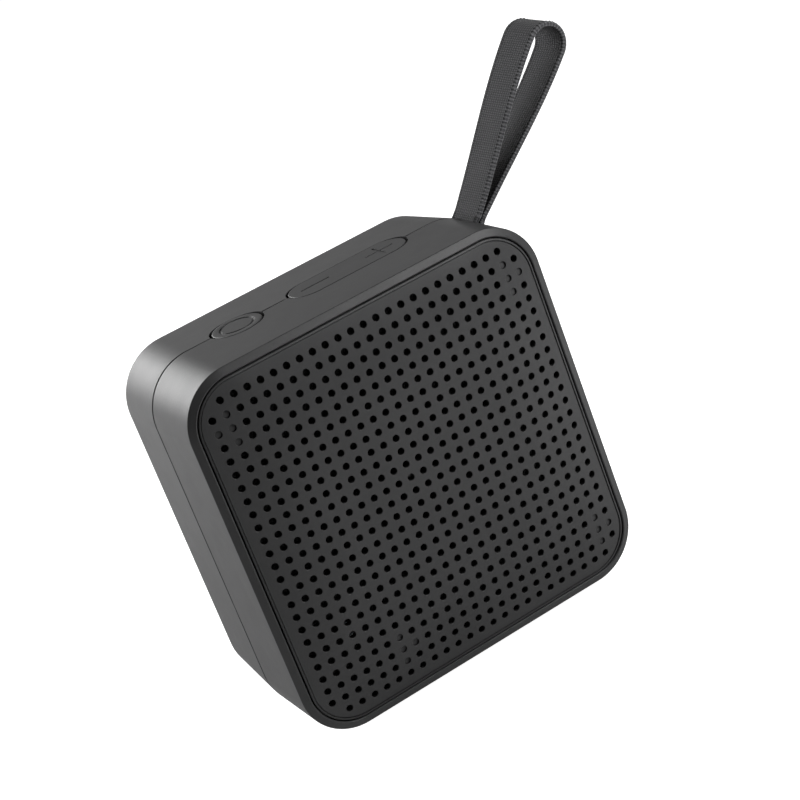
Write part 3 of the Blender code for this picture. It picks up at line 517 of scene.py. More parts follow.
def webbing_material():
    """Narrow woven webbing. The mesh has UVs in millimetres: U along it and V across it."""
    made, tree, shader = new_material("woven_webbing")
    place = add(tree, "ShaderNodeUVMap", uv_map="webbing").outputs["UV"]
    parts = add(tree, "ShaderNodeSeparateXYZ", {"Vector": place}).outputs
    along = maths(tree, "SINE", maths(tree, "MULTIPLY", parts["X"], math.pi / PICK_PITCH))
    across = maths(tree, "SINE", maths(tree, "MULTIPLY", parts["Y"], math.pi / WARP_PITCH))
    weave = maths(tree, "ABSOLUTE", maths(tree, "MULTIPLY", along, across))
    inputs = {"Vector": place, "Scale": 3.0, "Detail": 4.0}
    fuzz = add(tree, "ShaderNodeTexNoise", inputs).outputs["Fac"]
    thread = maths(tree, "ADD", weave, maths(tree, "MULTIPLY", fuzz, 0.5))
    share = spread(tree, thread, 0.0, 1.0, 0.15, 1.2)
    colour = blended(tree, share, (0.008, 0.008, 0.009), (0.045, 0.045, 0.047))
    stitch = add(tree, "ShaderNodeAttribute", attribute_name="stitch").outputs["Fac"]
    bead = add(tree, "ShaderNodeAttribute", attribute_name="bead").outputs["Fac"]
    # lighter on the selvedge thread between stitches: painted highlight
    with_bead_highlight = blended(tree, bead, colour, (0.1, 0.1, 0.104))
    # near-black in the stitch holes: painted shade in these recesses
    tree.links.new(blended(tree, stitch, with_bead_highlight, (0.003, 0.003, 0.003)), shader.inputs["Base Color"])
    inputs = {"Height": thread, "Distance": 0.08 * MM, "Strength": 1.0}
    bump = add(tree, "ShaderNodeBump", inputs).outputs["Normal"]
    tree.links.new(bump, shader.inputs["Normal"])
    shader.inputs["Roughness"].default_value = 0.8
    shader.inputs["Specular IOR Level"].default_value = 0.25
    shader.inputs["Sheen Weight"].default_value = 0.05
    shader.inputs["Sheen Roughness"].default_value = 0.4
    return made


SHELL = moulded("charcoal_shell", (0.025, 0.025, 0.0255), 0.42)
GRILLE = moulded("charcoal_grille", (0.026, 0.026, 0.0265), 0.46, grain=0.35)
# near-black hole walls: painted shade inside the grille's holes
HOLE_WALL_PAINTED_SHADE = moulded("hole_wall_painted_shade", (0.008, 0.008, 0.008), 0.8, grain=0.3, specular=0.1)
SILICONE = moulded("charcoal_silicone", (0.027, 0.027, 0.0275), 0.48, grain=0.3, relief=0.008)
RUBBER = moulded("black_rubber", (0.012, 0.012, 0.012), 0.6, grain=0.5, relief=0.02)
WEBBING_CLOTH = webbing_material()


# Case


def dome_fall(distance):
    """How far the dome falls back at this distance from the middle, across a flat side."""
    past = max(distance - DOME_FLAT, 0.0)
    return DOME_R - math.sqrt(DOME_R**2 - past**2)


def case_half(y):
    return CASE_HALF - max(y - PARTING_Y, 0.0) * math.tan(DRAFT)


def case_corner_radius(y):
    share = max(y - PARTING_Y, 0.0) / (BACK_Y - PARTING_Y)
    return CORNER_R + (BACK_CORNER_R - CORNER_R) * share


def case_section(y, inset=0.0):
    half = case_half(y) - inset
    return at_depth(rounded_rectangle(half, half, case_corner_radius(y) - inset), y)


def ring_section(half, y):
    return at_depth(rounded_rectangle(half, half, CORNER_R - (CASE_HALF - half)), y)


def under_skin(point):
    """How deep a point lies under the case's side walls."""
    half, radius = case_half(point.y), case_corner_radius(point.y)
    x = abs(point.x) - (half - radius)
    z = abs(point.z) - (half - radius)
    if x > 0 and z > 0:
        return radius - math.hypot(x, z)
    return half - max(abs(point.x), abs(point.z))


def on_case_skin(point):
    return under_skin(point) < 0.25 or point.y > BACK_Y - 0.02


def slot_cutter():
    """Cutter for the strap's slot through the rounded corner, square to the diagonal."""
    half_width = STRAP_WIDTH / 2 + SLOT_CLEARANCE
    outline = rounded_rectangle(SLOT_HALF, half_width, SLOT_CORNER_R, 6)
    low = [(x, y, PIN_ALONG + 0.8) for x, y in outline]
    high = [(x, y, MOUTH_ALONG + 3.0) for x, y in outline]
    bm = shifted(loft([low, high]), STRAP_ACROSS, STRAP_Y)
    bmesh.ops.rotate(bm, matrix=Matrix.Rotation(math.radians(45), 3, "Y"), verts=bm.verts)
    return bm


def button_cutters():
    power = rod_z(POWER_X, PARTING_Y, POWER_R + GAP, WELL_BOTTOM, WELL_TOP, ROUND_STEPS)
    half_width = ROCKER_HALF_WIDTH + GAP
    pill = rounded_rectangle(ROCKER_HALF_LENGTH + GAP, half_width, half_width - 0.01)
    rocker = loft([at_height(pill, WELL_BOTTOM), at_height(pill, WELL_TOP)])
    return [power, shifted(rocker, ROCKER_X, PARTING_Y)]


def foot_recess():
    corner = FOOT_CORNER_R + GAP
    outline = rounded_rectangle(FOOT_HALF_X + GAP, FOOT_HALF_Y + GAP, corner, 8)
    low, high = -CASE_HALF - 3.0, -CASE_HALF + FOOT_RECESS
    return loft([at_height(outline, low), at_height(outline, high)])


def make_front_shell():
    """Bezel, side walls and baffle as one ring, with its posts and bosses."""
    end_y = PARTING_Y - SEAM / 2
    wall_half = CASE_HALF - WALL
    lip = 0.3
    lip_y = FRONT_Y + dome_fall(REBATE_HALF) - BEZEL_PROUD
    edge = SHELL_EDGE_R
    profile = arc((CASE_HALF - edge, end_y - edge), edge, 90, 0, 4)
    profile += arc((CASE_HALF - 0.26, BEZEL_Y + 0.2), 0.24, 0, -90, 5)
    profile += arc((REBATE_HALF + lip, lip_y + lip), lip, -90, -180, 5)
    profile += [(REBATE_HALF, REBATE_Y), (38.6, REBATE_Y)]
    profile += [(38.6, REBATE_Y + 1.8), (wall_half, REBATE_Y + 3.6), (wall_half, BAFFLE_FRONT)]
    sections = [ring_section(half, y) for half, y in profile]
    sections += [
        at_depth(circle(DRIVER_HOLE_R), BAFFLE_FRONT),
        at_depth(circle(DRIVER_HOLE_R), BAFFLE_BACK),
        ring_section(wall_half, BAFFLE_BACK),
        ring_section(wall_half, PARTING_Y - SEAM_SHUT / 2),
        ring_section(CASE_HALF - SEAM_DEPTH, PARTING_Y - SEAM_SHUT / 2),
        ring_section(CASE_HALF - SEAM_DEPTH, end_y),
    ]
    pin_x, pin_z = on_diagonal(PIN_ALONG, STRAP_ACROSS)
    added = [rod_y(x, z, POST_R, REBATE_Y, PARTING_Y - 1.5) for x, z in POSTS]
    for x in BRACKET_SCREW_X:
        added.append(rod_z(x, BRACKET_SCREW_Y, 2.0, BRACKET_TOP + GAP, CASE_HALF - 1.0))
    added.append(rod_y(pin_x, pin_z, 2.1, BAFFLE_BACK - 0.5, BAFFLE_BACK + 1.4))
    removed = [rod_y(x, z, PILOT_R, -8.0, PARTING_Y + 2.0) for x, z in POSTS]
    for x in BRACKET_SCREW_X:
        removed.append(rod_z(x, BRACKET_SCREW_Y, PILOT_R, BRACKET_TOP - 1.0, 40.0))
    removed.append(rod_y(pin_x, pin_z, PIN_R + GAP, BAFFLE_BACK + 0.2, BAFFLE_BACK + 3.0))
    for quarter in range(4):
        angle = math.radians(45 + 90 * quarter)
        x, z = DRIVER_SCREWS_R * math.cos(angle), DRIVER_SCREWS_R * math.sin(angle)
        removed.append(rod_y(x, z, PILOT_R, BAFFLE_FRONT - 1.0, BAFFLE_BACK + 1.0))
    removed += [slot_cutter(), foot_recess()] + button_cutters()
    bm = carved(loft(sections, ring=True), added, removed)
    shell = placed("front_case", soften(bm, on_case_skin, EDGE_SOFTENING), SHELL)
    return even_shading(shell)


def wall_plate(half_y, half_z, radius, inner, outer, edge=0.0):
    """A rounded plate or cutter lying in the drafted right wall, from inner to outer."""
    def section(out, inset):
        outline = rounded_rectangle(half_z - inset, half_y - inset, radius - inset, 8)
        return [(out, y, z) for z, y in outline]

    sections = [section(inner, 0.0)]
    if edge:
        for inset, out in arc((edge, outer - edge), edge, 180, 90, 4):
            sections.append(section(out, inset))
    else:
        sections.append(section(outer, 0.0))
    bm = loft(sections)
    bmesh.ops.rotate(bm, matrix=Matrix.Rotation(DRAFT, 3, "Z"), verts=bm.verts)
    return shifted(bm, case_half(PORT_Y), PORT_Y, PORT_Z)


def make_rear_shell():
    """The drafted rear half: wall, back, screw tubes, board bosses, pin tower and charge port."""
    start_y = PARTING_Y + SEAM / 2
    sections = [case_section(y, SEAM_DEPTH) for y in (PARTING_Y + SEAM_SHUT / 2, start_y)]
    edge = SHELL_EDGE_R
    for inset, y in arc((edge, start_y + edge), edge, 270, 180, 4):
        sections.append(case_section(y, inset))
    edge = BACK_EDGE_R
    for inset, y in arc((edge, BACK_Y - edge), edge, 180, 90, 6):
        sections.append(case_section(y, inset))
    outer = loft(sections)
    hollow = loft([case_section(start_y - 2.0, WALL), case_section(BACK_INNER_Y, WALL)])
    shell = carved(outer, [], [hollow])
    pin_x, pin_z = on_diagonal(PIN_ALONG, STRAP_ACROSS)
    pin_back = STRAP_Y + STRAP_WIDTH / 2 + 3.4
    tube_back = BACK_INNER_Y + 1.0
    added = [rod_y(x, z, TUBE_R, PARTING_Y + 0.6, tube_back) for x, z in POSTS]
    added += [rod_y(x, z, BOSS_R, BOARD_BACK_Y + GAP, tube_back) for x, z in BOARD_SCREWS]
    added.append(rod_y(pin_x, pin_z, BOSS_R, pin_back - 2.8, tube_back))
    half = case_half(PORT_Y)
    inner = half - WALL
    added.append(box((inner - 1.2, 8.6, PORT_Z - 11.0), (inner + 0.8, 19.9, PORT_Z + 11.0)))
    removed = [rod_y(x, z, SHANK_HOLE_R, PARTING_Y - 2.0, HEAD_WELL_Y) for x, z in POSTS]
    removed += [rod_y(x, z, HEAD_WELL_R, HEAD_WELL_Y, BACK_Y + 2.0, 40) for x, z in POSTS]
    removed += [rod_y(x, z, PILOT_R, 10.5, BACK_INNER_Y - 1.5) for x, z in BOARD_SCREWS]
    removed.append(rod_y(pin_x, pin_z, PIN_R + GAP, PARTING_Y, pin_back + 0.4))
    depth = FLAP_THICKNESS + GAP
    removed.append(wall_plate(FLAP_WIDTH / 2 + GAP, FLAP_LENGTH / 2 + GAP, 0.8, -depth, 2.0))
    removed += [slot_cutter(), foot_recess()] + button_cutters()
    shell = carved(shell, added, removed)
    shell = carved(shell, [], [wall_plate(*SOCKET_HOLE, -6.0, 1.0)])
    return even_shading(placed("rear_case", soften(shell, on_case_skin, EDGE_SOFTENING), SHELL))


def make_foot():
    """The foot pad, its edges rounded and its sole in shallow steps."""
    sections = []
    for inset, z in arc((0.4, 0.4), 0.4, 270, 180, 4):
        corner = FOOT_CORNER_R - inset
        outline = rounded_rectangle(FOOT_HALF_X - inset, FOOT_HALF_Y - inset, corner, 10)
        sections.append(at_height(outline, z - CENTRE_Z))
    outline = rounded_rectangle(FOOT_HALF_X, FOOT_HALF_Y, FOOT_CORNER_R, 10)
    sections.append(at_height(outline, FOOT_TOP - CENTRE_Z))
    return even_shading(placed("foot", loft(sections), RUBBER))


# Grille


def dome_y(x, z):
    """Depth of the domed front. Its level lines are squares with round corners."""
    wide, narrow = max(abs(x), abs(z)), min(abs(x), abs(z))
    if narrow <= wide - LEVEL_R:
        return FRONT_Y + dome_fall(wide)
    corner = (wide + narrow - math.sqrt(2 * LEVEL_R**2 - (wide - narrow) ** 2)) / 2
    return FRONT_Y + dome_fall(corner + LEVEL_R)


class Skin:
    """Vertices, shared where they coincide, and faces; walls lists the hole walls, which get
    painted shade.
    """

    def __init__(self):
        self.points = []
        self.faces = []
        self.walls = []
        self.known = {}

    def point(self, x, z, depth):
        """A point this far behind the domed front."""
        key = (round(x, 4), round(z, 4), round(depth, 4))
        if key not in self.known:
            self.known[key] = len(self.points)
            self.points.append((x, dome_y(x, z) + depth, z))
        return self.known[key]

    def loop(self, outline, depth):
        return [self.point(x, z, depth) for x, z in outline]

    def bridge(self, one, two):
        count = len(one)
        for i in range(count):
            j = (i + 1) % count
            self.faces.append((one[i], one[j], two[j], two[i]))


def cell_outline(x, z):
    """The square cell round a hole, anticlockwise."""
    half = PITCH / 2
    corners = ((half, -half), (half, half), (-half, half), (-half, -half))
    points = []
    for (x1, z1), (x2, z2) in zip(corners, corners[1:] + corners[:1]):
        for step in range(SIDE_STEPS):
            share = step / SIDE_STEPS
            points.append((x + x1 + (x2 - x1) * share, z + z1 + (z2 - z1) * share))
    return points


def add_cell(skin, column, row):
    """One hole and the plate round it, front and back."""
    x, z = column * PITCH, row * PITCH
    outline = cell_outline(x, z)

    def ring(radius):
        points = []
        for px, pz in outline:
            angle = math.atan2(pz - z, px - x)
            points.append((x + radius * math.cos(angle), z + radius * math.sin(angle)))
        return points

    front = skin.loop(outline, 0.0)
    back = skin.loop(outline, PANEL_THICKNESS)
    rim = skin.loop(ring(HOLE_R + HOLE_CHAMFER), 0.0)
    mouth = skin.loop(ring(HOLE_R), HOLE_CHAMFER * 0.8)
    skin.bridge(front, rim)
    skin.bridge(rim, mouth)
    first_wall = len(skin.faces)
    if (column, row) in BLIND_HOLES:
        floor = skin.loop(ring(HOLE_R * 0.95), BLIND_DEPTH)
        skin.bridge(mouth, floor)
        skin.walls += range(first_wall, len(skin.faces))
        skin.faces.append(tuple(floor))
        skin.faces.append(tuple(reversed(back)))
        return
    end = skin.loop(ring(HOLE_R), PANEL_THICKNESS)
    skin.bridge(mouth, end)
    skin.walls += range(first_wall, len(skin.faces))
    skin.bridge(end, back)


def rim_paths():
    """Matching paths round the hole field and round the panel's edge, anticlockwise."""
    side = (HOLES + 0.5) * PITCH
    notch = (HOLES - 0.5) * PITCH
    step = PITCH / SIDE_STEPS
    quarter = []
    for i in range(round(2 * notch / step)):
        quarter.append((side, -notch + i * step))
    for i in range(SIDE_STEPS):
        quarter.append((side - i * step, notch))
    for i in range(SIDE_STEPS):
        quarter.append((notch, notch + i * step))
    inner, outer = [], []
    centre = PANEL_HALF - PANEL_CORNER_R
    for turn in range(4):
        cos, sin = (1, 0, -1, 0)[turn], (0, 1, 0, -1)[turn]
        for x, z in quarter:
            if x > centre and z > centre:
                reach = math.hypot(x - centre, z - centre)
                out_x = centre + (x - centre) * PANEL_CORNER_R / reach
                out_z = centre + (z - centre) * PANEL_CORNER_R / reach
            elif x > centre and z < -centre:
                reach = math.hypot(x - centre, z + centre)
                out_x = centre + (x - centre) * PANEL_CORNER_R / reach
                out_z = -centre + (z + centre) * PANEL_CORNER_R / reach
            else:
                out_x, out_z = PANEL_HALF, z
            inner.append((x * cos - z * sin, x * sin + z * cos))
            outer.append((out_x * cos - out_z * sin, out_x * sin + out_z * cos))
    return inner, outer


def make_grille():
    """The perforated panel, as one body with its holes cut square through."""
    skin = Skin()
    for column in range(-HOLES, HOLES + 1):
        for row in range(-HOLES, HOLES + 1):
            if abs(column) < HOLES or abs(row) < HOLES:
                add_cell(skin, column, row)
    inner, outer = rim_paths()

    def between(share, inset):
        points = []
        for (x1, z1), (x2, z2) in zip(inner, outer):
            reach = math.hypot(x2 - x1, z2 - z1)
            along = share * (reach - inset) / reach
            points.append((x1 + (x2 - x1) * along, z1 + (z2 - z1) * along))
        return points

    bottom = RIM_WIDTH + RIM_GROOVE
    loops = [skin.loop(inner, 0.0), skin.loop(between(0.5, bottom + 0.05), 0.0)]
    loops += [skin.loop(between(1.0, bottom + 0.05), 0.0)]
    loops += [skin.loop(between(1.0, bottom), RIM_GROOVE)]
    loops += [skin.loop(between(1.0, RIM_WIDTH), RIM_GROOVE)]
    loops += [skin.loop(between(1.0, RIM_WIDTH - 0.03), -RIM_HEIGHT)]
    for inset, depth in ((0.12, 0.0), (0.04, 0.035), (0.0, 0.12)):
        loops.append(skin.loop(between(1.0, inset), depth - RIM_HEIGHT))
    loops.append(skin.loop(between(1.0, 0.0), PANEL_THICKNESS))
    loops.append(skin.loop(inner, PANEL_THICKNESS))
    for one, two in zip(loops, loops[1:]):
        skin.bridge(one, two)
    mesh = bpy.data.meshes.new("grille")
    mesh.from_pydata(skin.points, [], skin.faces)
    bm = bmesh.new()
    bm.from_mesh(mesh)
    bpy.data.meshes.remove(mesh)
    bm.faces.ensure_lookup_table()
    # the hole walls take the near-black material: painted shade inside the holes
    for index in skin.walls:
        bm.faces[index].material_index = 1
    grille = placed("grille", bm, GRILLE, smooth_angle=30)
    grille.data.materials.append(HOLE_WALL_PAINTED_SHADE)
    return grille


# Buttons


def make_power():
    """Round cap with a ring-shaped groove, a flange and a stem."""
    top = BUTTON_TOP
    profile = [(3.36, top)] + arc((3.36, top - 0.08), 0.08, 60, 0, 2)
    profile += [(3.5, top - 0.24), (3.62, top - 0.3), (3.84, top - 0.3), (3.96, top - 0.24)]
    profile += arc((4.1, top - 0.08), 0.08, 180, 90, 3)
    cap = POWER_R - BUTTON_GAP
    profile += arc((cap - CAP_EDGE_R, top - CAP_EDGE_R), CAP_EDGE_R, 90, 0, 6)
    profile += [(cap, FLANGE_TOP), (POWER_R + FLANGE, FLANGE_TOP)]
    profile += [(POWER_R + FLANGE, FLANGE_BOTTOM), (1.5, FLANGE_BOTTOM), (1.5, STEM_BOTTOM)]
    sections = [at_height(circle(radius), z) for radius, z in profile]
    bm = shifted(loft(sections), POWER_X, PARTING_Y)
    return even_shading(placed("power_cap", bm, SILICONE))


def groove(half_length, half_width, x, y, turned=False):
    """A cutter for one stroke of a sign, with round ends."""
    outline = rounded_rectangle(half_length, half_width, half_width - 0.01, 8)
    if turned:
        outline = [(-z, x) for x, z in outline]
    low, high = BUTTON_TOP - SIGN_DEPTH, BUTTON_TOP + 1.0
    return shifted(loft([at_height(outline, low), at_height(outline, high)]), x, y)


def make_rocker():
    """Pill-shaped cap with a minus and a plus sunk in it, a flange, and two stems."""
    def pill(grow, z):
        half_width = ROCKER_HALF_WIDTH + grow
        outline = rounded_rectangle(ROCKER_HALF_LENGTH + grow, half_width, half_width - 0.01)
        return at_height(outline, z)

    sections = [pill(FLANGE, FLANGE_BOTTOM), pill(FLANGE, FLANGE_TOP)]
    sections.append(pill(-BUTTON_GAP, FLANGE_TOP))
    middle = (-BUTTON_GAP - CAP_EDGE_R, BUTTON_TOP - CAP_EDGE_R)
    for grow, z in arc(middle, CAP_EDGE_R, 0, 90, 6):
        sections.append(pill(grow, z))
    body = shifted(loft(sections), ROCKER_X, PARTING_Y)
    stems = [
        rod_z(ROCKER_X + side * SWITCH_REACH, PARTING_Y, 1.5, STEM_BOTTOM, FLANGE_BOTTOM + 0.5)
        for side in (-1, 1)
    ]
    plus_x = ROCKER_X + SIGN_REACH
    minus = groove(MINUS_HALF, STROKE_HALF, ROCKER_X - SIGN_REACH, PARTING_Y)
    plus = groove(PLUS_HALF, STROKE_HALF, plus_x, PARTING_Y)
    upright = groove(UPRIGHT_HALF, STROKE_HALF, plus_x, PARTING_Y, turned=True)
    bm = carved(body, stems, [minus, plus])
    bm = carved(bm, [], [upright])
    soften(bm, lambda point: point.z > BUTTON_TOP - 0.02, 0.07)
    return even_shading(placed("volume_cap", bm, SILICONE))


# Charge port cover


def make_cover():
    """Silicone cover: a plate in the recess, with a plug in the hole."""
    half_y, half_z = FLAP_WIDTH / 2, FLAP_LENGTH / 2
    plate = wall_plate(half_y, half_z, FLAP_CORNER_R, -FLAP_THICKNESS, 0.0, edge=FLAP_EDGE_R)
    plug = wall_plate(*PLUG, -FLAP_THICKNESS - PLUG_REACH, -0.5)
    return even_shading(placed("port_cover", carved(plate, [plug], []), SILICONE))


# Strap


def half_gap(share):
    """Half distance between the strap's legs, from the mouth at 0 to the round end at 1."""
    shape = 0.75 * share + 1.5 * share**2 - 1.25 * share**3
    return LOOP_ROOT_GAP + (LOOP_CAP_R - LOOP_ROOT_GAP) * shape


def strap_line():
    """The webbing's closed middle line, as (across, along), evenly spaced outside the case."""
    start = MOUTH_ALONG + 1.35
    left, right = [], []
    leg_steps = 200
    for step in range(leg_steps + 1):
        share = step / leg_steps
        along = start + (LOOP_CAP_ALONG - start) * share
        middle = STRAP_ACROSS + LOOP_LEAN * share
        left.append((middle - half_gap(share), along))
        right.append((middle + half_gap(share), along))
    cap = arc((STRAP_ACROSS + LOOP_LEAN, LOOP_CAP_ALONG), LOOP_CAP_R, 180, 0, 70)[1:-1]
    radius = PIN_R + 0.15 + WEBBING / 2
    bend = arc((STRAP_ACROSS, PIN_ALONG), radius, 20, -200, 24)
    inside = []
    for share in (0.2, 0.4, 0.6, 0.8, 1.0):
        along = start + (PIN_ALONG + 2.6 - start) * share
        inside.append((STRAP_ACROSS + LOOP_ROOT_GAP + 0.25 * share, along))
    outside = [(2 * STRAP_ACROSS - across, along) for across, along in reversed(inside)]
    return left + cap + right[::-1] + inside + bend + outside


def webbing_section():
    """The webbing's outline as (thickness, width, across): flat faces with rounded selvedges."""
    half_width, half_thick = STRAP_WIDTH / 2, WEBBING / 2
    edge = SELVEDGE_R
    steps = 34
    straight = half_width - edge
    face = [(half_thick, -straight + 2 * straight * step / steps) for step in range(steps + 1)]
    round_end = arc((half_thick - edge, straight), edge, 0, 90, 3)[1:]
    upper = round_end + [(-t, w) for t, w in reversed(round_end)]
    other = [(-t, -w) for t, w in face]
    lower = [(-t, -w) for t, w in upper]
    return face + upper + other + lower


def stitch_depth(along, width):
    """How deep a stitch hole is at this place, from 0 to 1. It also darkens the colour there:
    painted shade in the hole.
    """
    row = abs(abs(width) - (STRAP_WIDTH / 2 - STITCH_INSET))
    place = abs((along / STITCH_PITCH) % 1.0 - 0.5) * STITCH_PITCH
    distance = math.hypot(row / 0.3, place / 0.25)
    return max(0.0, 1.0 - distance**2)


def bead_height(along, width):
    """How far the selvedge's thread stands out between two stitches, from 0 to 1. It also lightens
    the colour there: a painted highlight.
    """
    row = abs(abs(width) - (STRAP_WIDTH / 2 - 0.2))
    place = abs((along / STITCH_PITCH + 0.5) % 1.0 - 0.5) * STITCH_PITCH
    distance = math.hypot(row / 0.3, place / 0.26)
    return max(0.0, 1.0 - distance**2)


def twist(along):
    """How far the loop is turned about its own length at this distance along the diagonal."""
    share = min(max((along - MOUTH_ALONG) / (LOOP_CAP_ALONG - MOUTH_ALONG), 0.0), 1.0)
    return TWIST_ROOT * min(share * 8, 1.0) + (TWIST_END - TWIST_ROOT) * share


def make_strap():
    """One endless piece of webbing: round the pin, out of the slot and round again."""
    line = strap_line()
    outline = webbing_section()
    count = len(line)
    bm = bmesh.new()
    stitch_shade_layer = bm.verts.layers.float.new("stitch")
    bead_highlight_layer = bm.verts.layers.float.new("bead")
    uv_layer = bm.loops.layers.uv.new("webbing")
    travelled = 0.0
    loops, marks = [], []
    for i, (across, along) in enumerate(line):
        before, after = Vector(line[i - 1]), Vector(line[(i + 1) % count])
        run = (after - before).normalized()
        side = Vector((-run.y, run.x))
        if i:
            travelled += (Vector(line[i]) - before).length
        loop = []
        for thick, width in outline:
            depth = stitch_depth(travelled, width) if abs(thick) > 0.3 else 0.0
            bead = bead_height(travelled, width)
            reach = thick + math.copysign(BEAD_RISE * bead - STITCH_SINK * depth, thick)
            point = Vector((across, along)) + side * reach
            turn = twist(along)
            off = point.x - STRAP_ACROSS
            sideways = STRAP_ACROSS + off * math.cos(turn) - width * math.sin(turn)
            x, z = on_diagonal(point.y, sideways)
            y = STRAP_Y + width * math.cos(turn) + off * math.sin(turn)
            vert = bm.verts.new((x, y, z))
            # the stitch value darkens the colour: painted shade in the stitch holes
            vert[stitch_shade_layer] = min(1.0, 1.6 * depth)
            # the bead value lightens the colour: painted highlight on the raised thread
            vert[bead_highlight_layer] = bead
            loop.append(vert)
        loops.append(loop)
        marks.append(travelled)
    closing = travelled + (Vector(line[0]) - Vector(line[-1])).length
    marks.append(closing)
    girth = [0.0]
    for one, two in zip(outline, outline[1:] + outline[:1]):
        girth.append(girth[-1] + math.dist(one, two))
    for i in range(count):
        one, two = loops[i], loops[(i + 1) % count]
        for j in range(len(outline)):
            k = (j + 1) % len(outline)
            face = bm.faces.new((one[j], one[k], two[k], two[j]))
            places = ((i, j), (i, j + 1), (i + 1, j + 1), (i + 1, j))
            for corner, (row, column) in zip(face.loops, places):
                corner[uv_layer].uv = (marks[row], girth[column])
    return placed("strap", bm, WEBBING_CLOTH, smooth_angle=180)


# Stage

LENS = 96.45
CAMERA_PLACE = (-148.79, -406.53, 219.59)
CAMERA_ANGLES = (67.896, 19.796, -29.068)
FLOOR_GLOW = 0.95               # seen by the camera only, so that the floor is near white
WORLD_TOP = 0.3                 # share of the light left overhead
WORLD_FRONT = 0.03
WORLD_BACK = 0.6
SOFT_BOXES = (                  # name, direction, distance and size in metres, radiance
    ("near_right", (0.2, -0.17, 0.1), 0.28, 0.12, 20.5),
    ("near_top", (0.13, -0.2, 0.16), 0.287, 0.12, 6.8),
    ("far_left", (-0.85, 0.5, 0.15), 0.9, 0.5, 19.5),
    ("far_back", (-0.3, 0.8, 0.5), 0.9, 0.6, 5.0),
    ("low_back", (-0.2, 0.4, 0.15), 0.47, 0.25, 1.8),
)
UNMIRRORED = ("near_right", "far_left")     # low and strong: their glare would bleach the top face


def make_floor():
    bm = bmesh.new()
    bmesh.ops.create_grid(bm, x_segments=4, y_segments=4, size=4.0)
    mesh = bpy.data.meshes.new("floor")
    bm.to_mesh(mesh)
    bm.free()
    made, tree, shader = new_material("pale_floor")
    shader.inputs["Base Color"].default_value = (0.5, 0.5, 0.5, 1.0)
    shader.inputs["Roughness"].default_value = 0.9
    shader.inputs["Specular IOR Level"].default_value = 0.1
    shader.inputs["Emission Color"].default_value = (1.0, 1.0, 1.0, 1.0)
    seen = add(tree, "ShaderNodeLightPath").outputs["Is Camera Ray"]
    glow = maths(tree, "MULTIPLY", seen, FLOOR_GLOW)
    tree.links.new(glow, shader.inputs["Emission Strength"])
    mesh.materials.append(made)
    floor = bpy.data.objects.new("floor", mesh)
    bpy.context.scene.collection.objects.link(floor)


def make_world():
    """A studio: soft white behind, dim in front and overhead. Seen directly it is white."""
    world = bpy.data.worlds.new("studio")
    world.use_nodes = True
    bpy.context.scene.world = world
    tree = world.node_tree
    background = tree.nodes["Background"]
    place = add(tree, "ShaderNodeTexCoord").outputs["Generated"]
    parts = add(tree, "ShaderNodeSeparateXYZ", {"Vector": place}).outputs
    behind = spread(tree, parts["Y"], WORLD_FRONT, WORLD_BACK, -0.3, 0.9)
    low = spread(tree, parts["Z"], 1.0, WORLD_TOP, 0.1, 0.7)
    total = maths(tree, "MULTIPLY", behind, low)
    seen = add(tree, "ShaderNodeLightPath").outputs["Is Camera Ray"]
    inputs = {0: seen, 2: total, 3: 1.0}
    strength = add(tree, "ShaderNodeMix", inputs, data_type="FLOAT")
    tree.links.new(strength.outputs[0], background.inputs["Strength"])
    background.inputs["Color"].default_value = (1.0, 1.0, 1.0, 1.0)


def soft_box(name, toward, distance, size, radiance):
    """A square light in this direction from the case's middle, facing it and not seen itself."""
    light = bpy.data.lights.new(name, "AREA")
    light.shape = "SQUARE"
    light.size = size
    light.energy = radiance * math.pi * size**2
    obj = bpy.data.objects.new(name, light)
    direction = Vector(toward).normalized()
    obj.location = Vector((0, 0, CENTRE_Z * MM)) + direction * distance
    obj.rotation_euler = direction.to_track_quat("Z", "Y").to_euler()
    obj.visible_camera = False
    obj.visible_glossy = name not in UNMIRRORED
    bpy.context.scene.collection.objects.link(obj)


def make_camera():
    camera = bpy.data.cameras.new("camera")
    camera.sensor_width = 36.0
    camera.lens = LENS
    camera.clip_start = 0.01
    camera.clip_end = 50.0
    obj = bpy.data.objects.new("camera", camera)
    obj.location = Vector(CAMERA_PLACE) * MM
    obj.rotation_euler = [math.radians(angle) for angle in CAMERA_ANGLES]
    bpy.context.scene.collection.objects.link(obj)
    bpy.context.scene.camera = obj


# The inner parts and fastenings keep their CAD shapes


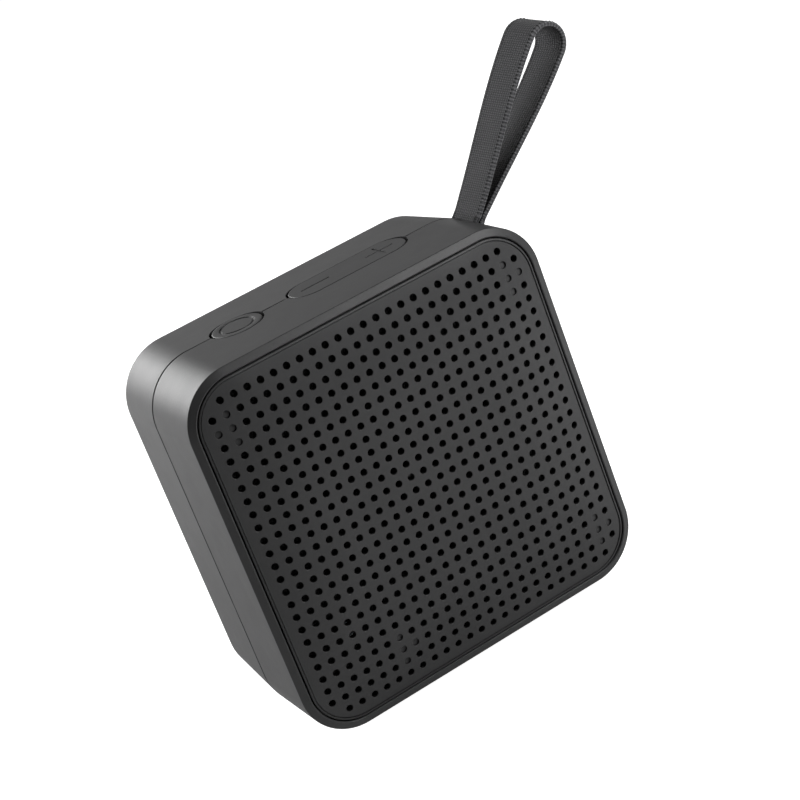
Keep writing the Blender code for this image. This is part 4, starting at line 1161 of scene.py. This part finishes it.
def finish_inner_parts():
    plated = metal("zinc_plate", (0.6, 0.6, 0.61), 0.3)
    coated = moulded("black_coated_steel", (0.012, 0.012, 0.013), 0.45, grain=0.6, relief=0.01)
    turned_steel = metal("turned_steel", (0.5, 0.5, 0.51), 0.25, streak=(1.0, 8.0, 1.0))
    sintered = moulded("sintered_ferrite", (0.045, 0.045, 0.05), 0.6, grain=0.25, relief=0.02)
    pulp = moulded("black_cone", (0.012, 0.012, 0.012), 0.5, grain=0.8, relief=0.02)
    black = (0.008, 0.008, 0.008)
    gloss = moulded("gloss_black", black, 0.1, grain=3.0, relief=0.001, specular=0.5)
    cloth = woven_cloth("resin_cloth", (0.42, 0.29, 0.11), 0.5)
    film = metal("copper_film", (0.72, 0.36, 0.18), 0.35, streak=(1.0, 20.0, 1.0), grain=1.2)
    board = circuit_board("circuit_board")
    pouch = metal("pouch_foil", (0.45, 0.47, 0.5), 0.42, grain=1.5, relief=0.02)
    foam = moulded("dark_foam", (0.06, 0.06, 0.06), 0.9, grain=0.7, relief=0.12, mottle=0.3)
    pipe = moulded("light_pipe", (0.6, 0.65, 0.7), 0.15, grain=2.0, relief=0.002, specular=0.5)
    wire = moulded("wire_sleeve", (0.3, 0.02, 0.02), 0.45, grain=1.0, relief=0.01)
    finishes = {
        "case_seal": RUBBER, "button_bracket": SHELL, "button_board": board,
        "strap_pin": turned_steel, "charge_socket": plated, "main_board": board,
        "radio_module": plated, "battery_cell": pouch, "battery_pad": foam,
        "microphone": coated, "status_led": pipe, "driver_basket": coated,
        "driver_gasket": foam, "driver_terminal": board, "surround": RUBBER, "cone": pulp,
        "dust_cap": gloss, "voice_coil": film, "spider": cloth, "top_plate": turned_steel,
        "magnet": sintered, "yoke": turned_steel, "button_ribbon": film,
        "speaker_lead": wire, "battery_lead": wire,
    }
    for name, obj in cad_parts.items():
        if obj.hide_render:
            continue
        if name.startswith("tact_switch"):
            finish = plated
        elif "_screw_" in name:
            finish = coated if name.startswith("driver_screw") else plated
        else:
            finish = finishes[name]
        for slot in obj.material_slots:
            slot.material = finish


PIECES = (
    (make_grille, "case", "grille", ("grille_panel",)),
    (make_front_shell, "case", "shell", ("front_shell",)),
    (make_rear_shell, "case", "shell", ("rear_shell",)),
    (make_foot, "case", "rubber", ("foot_pad",)),
    (make_power, "power", "silicone", ("power_button",)),
    (make_rocker, "rocker", "silicone", ("volume_rocker",)),
    (make_cover, "flap", "silicone", ("port_flap",)),
)

make_camera()
for make, body, slot_name, nodes in PIECES:
    piece = make()
    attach(piece, body)
    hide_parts(*nodes)

strap = make_strap()
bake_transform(strap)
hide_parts("strap_loop", "strap_tail")

finish_inner_parts()
make_floor()
make_world()
for light in SOFT_BOXES:
    soft_box(*light)
bpy.context.scene.view_settings.view_transform = "Standard"
